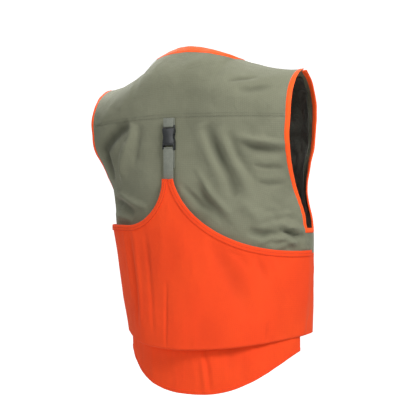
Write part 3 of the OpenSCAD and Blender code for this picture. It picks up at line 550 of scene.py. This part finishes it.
orange = cloth_material("orange_twill", (0.70, 0.037, 0.006), (0.82, 0.070, 0.009), rough=0.8, sheen=0.15,
                        line=0.10, tint=(1, 0.4, 0.2, 1), glow=0.20, crease=0.16, shade=0.35)
for side, word, seam in ((1, "left", -0.425), (-1, "right", -0.44)):
    sheet(word + "_shoulder_cloth",
          lambda u, v, off: shoulder_point(u, v ** 1.5, off, side, INSET, INSET),
          0.0045, 0.0013, olive, "vest", [word + "_shoulder_front"], body_relief)
    def strip(u, v, off, top, foot):
        z = mix(top, foot, v)
        start = back_edge(z, INSET) + inward(0.0004, SIDE, z)
        return around(side * mix(start, front_angle(fold_x(z) + 0.0001, z), u), z, off)
    sheet(word + "_underarm_cloth", lambda u, v, off: strip(u, v, off, -0.3932, seam + 0.0003), 0.004, 0.0013,
          olive, "vest", ["underarm_" + word], body_relief)
    sheet("side_panel_%s_cloth" % word, lambda u, v, off: strip(u, v, off, seam, -0.621), 0.0045, 0.0013,
          orange, "vest", ["side_panel_" + word], body_relief)

# ---- The bindings ----
# Orange tape 20 mm wide is folded over every raw edge of the neckline and the armholes and sewn
# through with one row of stitches near its inner edge.

tape = cloth_material("orange_binding_tape", (0.92, 0.07, 0.008), (1.0, 0.115, 0.012), rough=0.7, sheen=0.15,
                      pitch=0.0007, grid=0.0014, line=0.10, tint=(1, 0.6, 0.4, 1), glow=0.16)
orange_thread = thread_material("orange_thread", (0.72, 0.045, 0.012))
ROUND = [(1.0, 0.72), (0.86, 0.96), (0.5, 1.0), (0.2, 1.0), (0.06, 0.8), (0.0, 0.3), (0.0, -0.3),
         (0.06, -0.8), (0.2, -1.0), (0.5, -1.0), (0.86, -0.96), (1.0, -0.72)]

def binding(name, rail, columns, width, half, material, body, slot, nodes=(), relief=None, stitch=0.82,
            thread=None):
    """A folded tape along rail(u, w, off): u runs along the edge and w in from it."""
    u = np.linspace(0, 1, columns + 1)
    rings = []
    for w, off in ROUND:
        pucker = half * off * (1 + 0.10 * rumple(np.stack([u * columns * 0.3, 0 * u, 0 * u + w], -1), 1.0, 1.0))
        rings.append(skin(rail, u, w * width + 0 * u, pucker, relief))
    rings = np.stack(rings, 1)                       # columns+1, ring, 3
    n, k = rings.shape[:2]
    i = np.arange(n * k).reshape(n, k)
    j = np.roll(i, -1, axis=1)
    faces = np.stack([i[:-1], j[:-1], j[1:], i[1:]], -1).reshape(-1, 4).tolist()
    faces += [list(range(k - 1, -1, -1)), [(n - 1) * k + m for m in range(k)]]
    mesh = bpy.data.meshes.new(name)
    mesh.from_pydata(rings.reshape(-1, 3).tolist(), [], faces)
    mesh.validate()
    run = np.concatenate([[0], np.cumsum(np.linalg.norm(np.diff(rings[:, 3], axis=0), axis=1))])
    girth = np.cumsum([0] + [math.dist((a[0] * width, a[1] * half), (b[0] * width, b[1] * half))
                             for a, b in zip(ROUND[:-1], ROUND[1:])])
    uv = np.stack(np.meshgrid(girth, run), -1).reshape(-1, 2)
    corner = np.zeros(len(mesh.loops), np.int32)
    mesh.loops.foreach_get("vertex_index", corner)
    mesh.uv_layers.new(name="cloth").data.foreach_set("uv", uv[corner].astype(np.float32).ravel())
    obj = placed(name, mesh)
    activate(obj)
    bpy.ops.object.mode_set(mode="EDIT")
    bpy.ops.mesh.select_all(action="SELECT")
    bpy.ops.mesh.normals_make_consistent(inside=False)
    bpy.ops.object.mode_set(mode="OBJECT")
    mesh.shade_smooth()
    mesh.set_sharp_from_angle(angle=math.radians(70))
    fit(obj, material, body, nodes)
    made = [obj]
    fine = np.linspace(0.002, 0.998, columns * 2)
    for k, place in enumerate(stitch if isinstance(stitch, tuple) else (stitch,)):
        rail_row = row_on(rail, fine, place * width, half * 0.99, relief)
        made.append(stitches("%s_stitches_%d" % (name, k + 1), *rail_row, thread or orange_thread, body, slot))
    return made

def neck_rail(u, w, off):
    part = 0.25
    def vee(side, t):
        z = mix(FOLD_TOP - 0.002, top_z(NECK_R + w) - 0.002, 1 - (1 - t) ** 1.7)
        return rolled(side * (math.pi - np.arcsin((vee_x(z) + w) / half_width(z))), z, off, side * (NECK_R + w))
    middle = yoke_point(mix(-NECK_SHARE, NECK_SHARE, clamp((u - part) / (1 - 2 * part))), 0 * u, off, 0 * u, w)
    right, left = vee(-1, clamp(u / part)), vee(1, clamp((1 - u) / part))
    return np.where((u < part)[..., None], right, np.where((u > 1 - part)[..., None], left, middle))
binding("neck_tape", neck_rail, 220, 0.010, 0.0018, tape, "vest", "orange_binding", ["neck_binding"],
        body_relief)

def arm_rail(side):
    def rail(u, w, off):
        foot_z = Z_ARMPIT - w
        ends = back_edge(Z_ARMPIT + 0 * u, w), front_edge(Z_ARMPIT + 0 * u, w)
        foot = around(side * mix(*ends, clamp((u - 0.42) / 0.16)), foot_z, off)
        yoke_end = yoke_point(side + 0 * u, mix(0.06, 1, clamp(u / 0.2)) ** 1.7, off, w, 0 * u)
        z = mix(Z_YOKE - 0.008, Z_ARMPIT, clamp((u - 0.2) / 0.22))
        back_end = around(side * back_edge(z, w), z - w * clamp((Z_ARMPIT + 0.012 - z) / 0.012), off)
        front = shoulder_point(1 + 0 * u, mix(1, 0.04, clamp((u - 0.58) / 0.42)) ** 1.7, off, side, w, 0 * u)
        return np.select([(u < 0.2)[..., None], (u <= 0.42)[..., None], (u < 0.58)[..., None]],
                         [yoke_end, back_end, foot], front)
    return rail
for side, word in ((1, "left"), (-1, "right")):
    binding("armhole_tape_" + word, arm_rail(side), 260, 0.0105, 0.0018, tape, "vest", "orange_binding",
            ["armhole_binding_" + word], body_relief)

# ---- The shirt tail ----
# The back ends in a rounded orange tail that hangs below the fronts. Its edge is turned up once and
# sewn, which gathers the curve a little.

def tail_relief(p):
    return (rumple(p, 0.09, 0.004, seed=2.0) + rumple(p, 0.016, 0.0013, (1, 1, 6), 9.0)
            + rumple(p, 0.035, 0.0022, (1, 1, 3), 4.0)
            + fold(p, [(-82, 130, -640), (-90, 130, -690), (-96, 129, -740)], 5, -5)
            + fold(p, [(-72, 130, -640), (-78, 130, -690), (-85, 129, -740)], 6, 3)
            + fold(p, [(100, 120, -620), (85, 120, -680), (65, 120, -735)], 8, -4)
            ) * clamp((-0.604 - p[..., 2]) / 0.03)
sheet("tail_cloth", lambda u, v, off: tail_point(u, v, off, 0.0072), 0.0036, 0.0013, orange, "vest",
      ["tail_panel"], tail_relief)
binding("tail_hem_fold", lambda u, w, off: tail_point(u, 1 + 0 * u, off, w), 200, 0.008, 0.0014, orange, "vest",
        "orange_cloth", ["tail_hem"], tail_relief, stitch=0.8)

# ---- The game pouch ----
# A large orange pouch is sewn to the side seams and folds under at its foot. Its mouth dips on both
# sides of a spike that the strap holds up, with a turned hem and two rows of stitches along it.

def pouch_relief(p):
    """Soft upright creases on the wearer's left, and a slack middle."""
    lift = (rumple(p, 0.10, 0.0036, (1, 1, 1.5), 21.0) + rumple(p, 0.04, 0.0014, (1, 1, 2), 13.0)
            + rumple(p, 0.017, 0.0005, (1, 1, 2.5), 17.0))
    for path, width, height in (
            ([(118, 126, -385), (112, 125, -463), (99, 127, -540), (93, 128, -610)], 6, -4),
            ([(100, 132, -390), (96, 132, -463), (85, 134, -540), (78, 135, -610)], 8, 3),
            ([(64, 144, -400), (58, 144, -460), (47, 146, -543), (40, 149, -620)], 6, -3.2),
            ([(140, 115, -390), (132, 116, -460), (120, 118, -550)], 7, 3),
            ([(4, 150, -500), (4, 151, -564), (3, 153, -607), (2, 154, -650)], 4, -2.8),
            ([(-209, 80, -585), (-209, 80, -600), (-209, 80, -630)], 4, -3),
            ([(-100, 140, -400), (-130, 130, -460), (-170, 115, -530), (-190, 100, -580)], 20, -4),
            ([(-190, 95, -440), (-200, 88, -470), (-210, 80, -500)], 7, -3),
            ([(-215, 75, -440), (-225, 65, -480), (-228, 60, -520)], 6, 3),
            ([(-140, 130, -430), (-165, 120, -445), (-180, 108, -470)], 7, -2.5)):
        lift = lift + fold(p, path, width, height)
    return np.clip(lift, -0.007, 0.007) * clamp((p[..., 2] + 0.668) / 0.04 + 0.25)
CURL = 0.005
def pouch_cloth(u, v, off):
    """Down the pouch, round the fold at its foot and in to the back panel."""
    w = 2 * u - 1
    foot = fold_z(pouch_angle(w, -0.65 + 0 * w))
    top = pouch_mouth(w) - 0.0015
    z = mix(top, foot + CURL, clamp(v / 0.92))
    turn = clamp((v - 0.92) / 0.05) * math.pi / 2
    out = pouch_point(w, z - CURL * np.sin(turn), off * np.cos(turn), CURL * (1 - np.cos(turn)))
    phi = pouch_angle(w, foot)
    deep = pouch_off(phi, foot) - CURL - 0.0034
    under = pouch_point(w, foot - off, 0 * off, CURL + deep * clamp((v - 0.97) / 0.03))
    return np.where((v <= 0.97)[..., None], out, under)
def opens_with_pouch(*pieces):
    for piece in pieces:
        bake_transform(piece)
u, v = np.meshgrid(np.linspace(0, 1, 171), np.concatenate([np.linspace(0, 0.92, 90)[:-1],
                                                          np.linspace(0.92, 1, 14)]))
pouch = solid_grid("pouch_cloth", skin(pouch_cloth, u, v, 0.0007 + 0 * u, pouch_relief),
                   skin(pouch_cloth, u, v, -0.0007 + 0 * u, pouch_relief), pouch_relief(pouch_cloth(u, v, 0 * u)))
fit(pouch, orange, None, ["pouch_panel", "pouch_floor"])
opens_with_pouch(pouch)

def mouth_rail(side):
    def rail(u, w, off):
        place = side * mix(0.074, 0.995, u ** 1.4)
        def edge(t, o=0.0):
            return pouch_point(t, pouch_mouth(t), o + 0 * t)
        here = edge(place)
        along, out = unit(edge(place + side * 0.002) - here), unit(edge(place, MM) - here)
        inner = unit(np.cross(out, along) * side)
        reach = np.minimum(w, np.abs(here[..., 0]) * 0.97 + 0 * w)
        return here + inner * reach[..., None] + out * np.asarray(off)[..., None]
    return rail
# Partly painted shade: this thread is darker than the bindings' orange thread, so each row of stitches also shows
# the shade of the groove it sinks into.
hem_thread_painted_shade = thread_material("hem_thread_painted_shade", (0.42, 0.018, 0.006))
for side, word in ((1, "left"), (-1, "right")):
    opens_with_pouch(*binding("mouth_hem_" + word, mouth_rail(side), 170, 0.0135, 0.0015, orange, None,
                              "orange_cloth", (), pouch_relief, stitch=(0.46, 0.93), thread=hem_thread_painted_shade))
def facing(u, v, off):
    w = 2 * u - 1
    return pouch_point(w, pouch_mouth(w) - 0.0025 - 0.0185 * v, off, 0.0018)
opens_with_pouch(sheet("pouch_facing_cloth", facing, 0.006, 0.0007, orange, None,
                       ["pouch_facing"], pouch_relief))
for side, word, fall in ((1, "left", 0.103), (-1, "right", 0.157)):
    def gusset(u, v, off):
        z = mix(-0.276 - fall - 0.026, -0.6, v)
        ply = 1 - np.abs(2 * u - 1)
        phi = edge_angle(z) - np.radians(mix(15, 11, ply)) + off / 0.15
        far = pouch_off(phi, z) - 0.0022
        return around(side * phi, z, mix(0.0018, far, u))
    sheet("gusset_%s_cloth" % word, gusset, 0.004, 0.0007, orange, "vest",
          ["pouch_gusset_" + word], held="folded")

# ---- The opening fronts ----
# The free part of each front hangs from the line where the cloth folds back. It is olive twill with
# the same dark lining, and an orange binding runs down the vee of the neck.

def opens(piece):
    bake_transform(piece)
for side, word in ((1, "left"), (-1, "right")):
    opens(sheet(word + "_front_cloth", lambda u, v, off: front_point(u, v, off, side, INSET), 0.0045, 0.0013,
                olive, None, [word + "_front"], body_relief))
    opens(sheet(word + "_front_lining_cloth",
                lambda u, v, off: front_point(mix(0.03, 0.97, u), mix(0.03, 0.99, v), off + LINING, side, INSET),
                0.006, 0.0007, nylon, None, [word + "_front_lining"], body_relief))
    def vee_rail(u, w, off):
        z = mix(FOLD_START, Z_VEE - 0.002, u)
        return around(side * (math.pi - np.arcsin((vee_x(z) + w) / half_width(z))), z, off)
    for piece in binding(word + "_vee_tape", vee_rail, 50, 0.010, 0.0018, tape, None,
                         "orange_binding", [word + "_vee_binding"], body_relief):
        opens(piece)

# ---- The zip ----
# A one way separating zip closes the fronts. Its woven tapes carry moulded teeth, and the slider
# with its pull stands at the foot.

ZIP_TOP, TOOTH_PITCH, TOOTH = -0.204, 0.0025, (0.0025, 0.0023, 0.0015)
ZIP_LEAN = math.atan(LEAN)
ZIP_TILT = math.atan(0.1636 * math.cos(ZIP_LEAN))
ZIP_LONG = 0.418 / math.cos(ZIP_TILT) / math.cos(ZIP_LEAN)
def along_zip(local):
    """Zip places (x across, y out, z up) to places on the fronts."""
    x, y, z = np.moveaxis(np.asarray(local, float), -1, 0)
    c, s = math.cos(-ZIP_TILT), math.sin(-ZIP_TILT)
    y, z = c * y - s * z, s * y + c * z
    c, s = math.cos(ZIP_LEAN), math.sin(ZIP_LEAN)
    return np.stack([c * x + s * z + float(shift_x(ZIP_TOP)), y + float(front_y(ZIP_TOP)),
                     c * z - s * x + ZIP_TOP], -1)
zip_cloth = cloth_material("zip_tape_weave", (0.012, 0.012, 0.012), (0.03, 0.03, 0.03), pitch=0.0011,
                           grid=0.0022, line=0.3, bump=0.5)

def plastic_material(name, colour, rough, metal=0.0, grain=0.08):
    m, tree, shader = new_material(name)
    space = node(tree, "TexCoord")
    worn = node(tree, "TexNoise", [("Vector", space.outputs["Object"])], Scale=420.0, Detail=5.0)
    broad = node(tree, "TexNoise", [("Vector", space.outputs["Object"])], Scale=60.0, Detail=3.0)
    base = mixed(tree, broad.outputs["Fac"], tuple(c * 0.75 for c in colour),
                 tuple(min(1, c * 1.25) for c in colour))
    tree.links.new(base, shader.inputs["Base Color"])
    tree.links.new(maths(tree, "ADD", maths(tree, "MULTIPLY", worn.outputs["Fac"], 0.2), rough - 0.1),
                   shader.inputs["Roughness"])
    bumped(tree, shader, worn.outputs["Fac"], grain, 0.0004)
    shader.inputs["Metallic"].default_value = metal
    return m
enamel = plastic_material("black_enamel", (0.02, 0.02, 0.021), 0.38, metal=0.2)
tooth_plastic = plastic_material("tooth_plastic", (0.018, 0.018, 0.018), 0.45)

def moulded(name, source, material, body, edge=0.0003, shape=None):
    """A part made from its plain solid: merged, cleaned, shaped and with its edges rounded."""
    obj = placed(name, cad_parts[source].data.copy())
    activate(obj)
    bpy.ops.object.mode_set(mode="EDIT")
    bpy.ops.mesh.select_all(action="SELECT")
    bpy.ops.mesh.remove_doubles(threshold=0.00002)
    bpy.ops.mesh.dissolve_limited(angle_limit=math.radians(2))
    if shape:
        for z in np.linspace(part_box(source)[0][2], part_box(source)[1][2], 18)[1:-1]:
            bpy.ops.mesh.select_all(action="SELECT")
            bpy.ops.mesh.bisect(plane_co=(0, 0, float(z)), plane_no=(0, 0, 1))
        bpy.ops.mesh.select_all(action="SELECT")
    bpy.ops.mesh.normals_make_consistent(inside=False)
    bpy.ops.object.mode_set(mode="OBJECT")
    if shape:
        for v in obj.data.vertices:
            v.co = shape(v.co)
    rounding = obj.modifiers.new("rounding", "BEVEL")
    rounding.width, rounding.segments, rounding.limit_method = edge, 2, "ANGLE"
    rounding.angle_limit = math.radians(35)
    rounding.use_clamp_overlap = True
    bpy.ops.object.modifier_apply(modifier="rounding")
    bpy.ops.object.shade_smooth_by_angle(angle=math.radians(35))
    return fit(obj, material, body, [source])

bpy.ops.object.select_all(action="DESELECT")
bpy.ops.mesh.primitive_cube_add(size=1)
tooth = bpy.context.active_object
bpy.ops.object.mode_set(mode="EDIT")
bpy.ops.mesh.bevel(offset=0.12, segments=1)
bpy.ops.object.mode_set(mode="OBJECT")
tooth_spots = np.array([v.co[:] for v in tooth.data.vertices])
tooth_faces = [tuple(p.vertices) for p in tooth.data.polygons]
bpy.data.objects.remove(tooth)
for side, word in ((1, "left"), (-1, "right")):
    spots, faces = [], []
    for k, z in enumerate(np.arange(-ZIP_LONG + 0.013, -0.0045, TOOTH_PITCH)):
        middle = (side * (ZIP_NEAR + 0.0013), 0, z + (TOOTH_PITCH / 2 if side < 0 else 0))
        spots.append(along_zip(tooth_spots * TOOTH + middle))
        faces += [tuple(i + k * len(tooth_spots) for i in f) for f in tooth_faces]
    mesh = bpy.data.meshes.new(word + "_zip_chain")
    mesh.from_pydata(np.concatenate(spots).tolist(), [], faces)
    fit(placed(word + "_zip_chain", mesh), tooth_plastic, word + "_front",
        [word + "_zip_teeth"])
    def zip_web(u, v, off):
        x = side * mix(ZIP_NEAR + 0.0018, ZIP_NEAR + 0.0026 + 0.0064, u)
        return along_zip(np.stack([x + 0 * v, -off + 0 * v, mix(-0.004, -ZIP_LONG, v)], -1))
    sheet(word + "_zip_web", zip_web, 0.003, 0.0009, zip_cloth, word + "_front",
          [word + "_zip_tape"], held=None)
moulded("zip_box_part", "zip_box", tooth_plastic, "left_front")
moulded("zip_pin_part", "zip_pin", tooth_plastic, "right_front")
moulded("zip_slider_part", "zip_slider", enamel, "zip_slider")
moulded("zip_pull_part", "zip_pull", enamel, "zip_pull", 0.0002)

# ---- The pockets ----
# Each front has a bellows pocket of orange twill, sewn down on three sides. A flap is sewn on above
# it and closes over it with one brass snap.

def pocket_angle(u, z): return front_angle(mix(0.028, 0.144, u), z)
def pocket_off(u, v):
    rise = np.minimum(np.minimum(ease(u / 0.1), ease((1 - u) / 0.1)), ease((1 - v) / 0.1))
    return mix(0.0026, 0.020, rise)
def three_sides(left, top, low, along, across):
    """Places down one side of a panel, across its foot and up its other side."""
    right = 1 - left
    return (np.concatenate([np.full(along, left), np.linspace(left, right, across), np.full(along, right)]),
            np.concatenate([np.linspace(top, low, along), np.full(across, low), np.linspace(low, top, along)]))
brass = plastic_material("aged_brass", (0.52, 0.36, 0.13), 0.32, metal=1.0)
for side, word in ((1, "left"), (-1, "right")):
    def pocket(u, v, off):
        z = mix(-0.446, -0.596, v)
        return around(side * pocket_angle(u, z), z, pocket_off(u, v) + off)
    def flap(u, v, off):
        z = mix(-0.434, -0.492, v)
        return around(side * pocket_angle(mix(-4 / 116, 1 + 4 / 116, u), z), z,
                      mix(0.0034, 0.0236, ease(v / 0.125)) + off)
    def slack(p): return 0.25 * body_relief(p)
    sheet(word + "_pocket_cloth", pocket, 0.004, 0.0018, orange, word + "_front",
          [word + "_pocket"], slack)
    sheet(word + "_flap_cloth", flap, 0.004, 0.0020, orange, word + "_pocket_flap",
          [word + "_pocket_flap"], slack)
    for k, (a, b) in enumerate(((0.05, 0.95), (0.095, 0.90))):
        stitches("%s_flap_stitches_%d" % (word, k + 1),
                 *row_on(flap, *three_sides(a, 0.2, b, 60, 90), 0.0010, slack),
                 hem_thread_painted_shade, word + "_pocket_flap", "orange_cloth")
        stitches("%s_pocket_stitches_%d" % (word, k + 1),
                 *row_on(pocket, *three_sides(0.12 + 0.04 * k, 0.02, 0.88 - 0.03 * k, 110, 90), 0.0009, slack),
                 hem_thread_painted_shade, word + "_front", "orange_cloth")
    moulded(word + "_snap_cap_part", word + "_snap_cap", brass, word + "_pocket_flap", 0.0006)
    moulded(word + "_snap_stud_part", word + "_snap_stud", brass, word + "_front", 0.0002)

# ---- The strap and the hanging loop ----
# Grey green nylon webbing 25 mm wide joins the yoke seam to the spike of the pouch through a
# side release buckle. A short loop of the same webbing is sewn inside the neck.

web, tree, shader = new_material("strap_webbing")
space = node(tree, "TexCoord")
parts = node(tree, "SeparateXYZ", [("Vector", space.outputs["Object"])])
def rib(axis, size, power):
    turn = maths(tree, "MULTIPLY", parts.outputs[axis], math.pi / size)
    return maths(tree, "POWER", maths(tree, "ABSOLUTE", maths(tree, "SINE", turn)), power)
ribs = maths(tree, "MULTIPLY", rib(2, 0.0017, 0.7), rib(0, 0.0022, 0.4))
dye = node(tree, "Group", node_tree=mottle)
tree.links.new(space.outputs["Object"], dye.inputs["Vector"])
base = mixed(tree, maths(tree, "MULTIPLY", ribs, maths(tree, "ADD", dye.outputs["Fine"], 0.45)),
             (0.09, 0.1, 0.08), (0.26, 0.275, 0.225))
tree.links.new(base, shader.inputs["Base Color"])
bumped(tree, shader, ribs, 0.7, 0.0004)
shader.inputs["Roughness"].default_value = 0.6
shader.inputs["Sheen Weight"].default_value = 0.2
for name, source, body in (("strap_loop_webbing", "strap_anchor", "vest"),
                           ("hanger_webbing", "hanger_loop", "vest"),
                           ("strap_webbing_run", "pouch_strap", "pouch_strap"),
                           ("strap_end_webbing", "strap_tail", "buckle_plug")):
    moulded(name, source, web, body, 0.0003)

# ---- The buckle ----
# A side release buckle moulded in black acetal: the case holds the plug's two spring arms, which
# show through a window on each side, and each half has a bar for the webbing.

acetal = plastic_material("buckle_acetal", (0.02, 0.0225, 0.024), 0.36)
CASE_HALF, CASE_BACK, CASE_FACE = 0.0147, 0.1435, 0.1469
def case_shape(co):
    """The case is drawn in at its windows, and its outer face is crowned."""
    waist = 0.0022 * math.exp(-((co.z + 0.184) / 0.0075) ** 2)
    crown = 1 + 0.10 * math.exp(-((co.z + 0.181) / 0.012) ** 2) * (1 - (co.x / CASE_HALF) ** 2)
    out = CASE_BACK + (co.y - CASE_BACK) * crown if co.y > CASE_FACE else co.y
    return Vector((co.x * (1 - waist / CASE_HALF), out, co.z))
moulded("buckle_case", "buckle_socket", acetal, "buckle_socket", 0.0005, case_shape)
moulded("buckle_plug_body", "buckle_plug", acetal, "buckle_plug", 0.0005)
for word in ("left", "right"):
    moulded("buckle_arm_" + word, "plug_arm_" + word, acetal, "plug_arm_" + word, 0.0003)

# ---- The studio ----
# A pale floor curves up into a wall all round the vest. Large soft lamps light it from the upper
# right and fill it from the left.

camera_data = bpy.data.cameras.new("camera")
camera = bpy.data.objects.new("camera", camera_data)
bpy.context.scene.collection.objects.link(camera)
AWAY, ACROSS = Vector((-0.5, math.sqrt(0.75), 0)), Vector((-math.sqrt(0.75), -0.5, 0))
camera.location = AWAY * 2.1 + ACROSS * 0.014 + Vector((0, 0, -0.34))
camera.rotation_euler = (-AWAY).to_track_quat("-Z", "Y").to_euler()
camera_data.sensor_width, camera_data.lens = 36, 77.8
bpy.context.scene.camera = camera

def lamp(name, away, across, up, size, power, target=(0, 0, -0.35)):
    data = bpy.data.lights.new(name, "AREA")
    data.size, data.energy = size, power
    obj = bpy.data.objects.new(name, data)
    obj.location = AWAY * away + ACROSS * across + Vector((0, 0, up))
    obj.rotation_euler = (Vector(target) - obj.location).to_track_quat("-Z", "Y").to_euler()
    bpy.context.scene.collection.objects.link(obj)
lamp("key", 2.0, 1.1, 1.4, 0.8, 78)
lamp("fill", 1.8, -1.5, 0.2, 1.1, 12)
lamp("front_key", -1.2, -0.6, 1.3, 1.2, 34)
bpy.context.scene.view_settings.view_transform = "Standard"
world = bpy.data.worlds.new("studio")
bpy.context.scene.world = world
world.use_nodes = True
world.node_tree.nodes["Background"].inputs["Color"].default_value = (1, 1, 1, 1)
world.node_tree.nodes["Background"].inputs["Strength"].default_value = 0.25

ring = np.linspace(0, 2 * math.pi, 49)[:-1]
spots, faces = [(0, 0, -1.3)], []
rims = [(2.0, -1.3), (4.6, -1.3)] + [(4.6 + 1.4 * math.sin(a), 0.1 - 1.4 * math.cos(a))
                                     for a in np.linspace(0.2, math.pi / 2, 8)] + [(6.0, 5.0)]
for reach, up in rims:
    spots += [(reach * math.cos(a), reach * math.sin(a), up) for a in ring]
for k in range(48):
    faces.append((0, 1 + k, 1 + (k + 1) % 48))
    faces += [(1 + 48 * r + k, 49 + 48 * r + k, 49 + 48 * r + (k + 1) % 48, 1 + 48 * r + (k + 1) % 48)
              for r in range(len(rims) - 1)]
mesh = bpy.data.meshes.new("floor")
mesh.from_pydata(spots, [], faces)
mesh.shade_smooth()
floor = bpy.data.objects.new("floor", mesh)
bpy.context.scene.collection.objects.link(floor)
paper, tree, shader = new_material("studio_paper")
shader.inputs["Base Color"].default_value = (0.6, 0.6, 0.6, 1)
shader.inputs["Emission Color"].default_value = (1, 1, 1, 1)
ray = node(tree, "LightPath")
tree.links.new(maths(tree, "ADD", maths(tree, "MULTIPLY", ray.outputs["Is Camera Ray"], 0.85), 0.06),
               shader.inputs["Emission Strength"])
mesh.materials.append(paper)
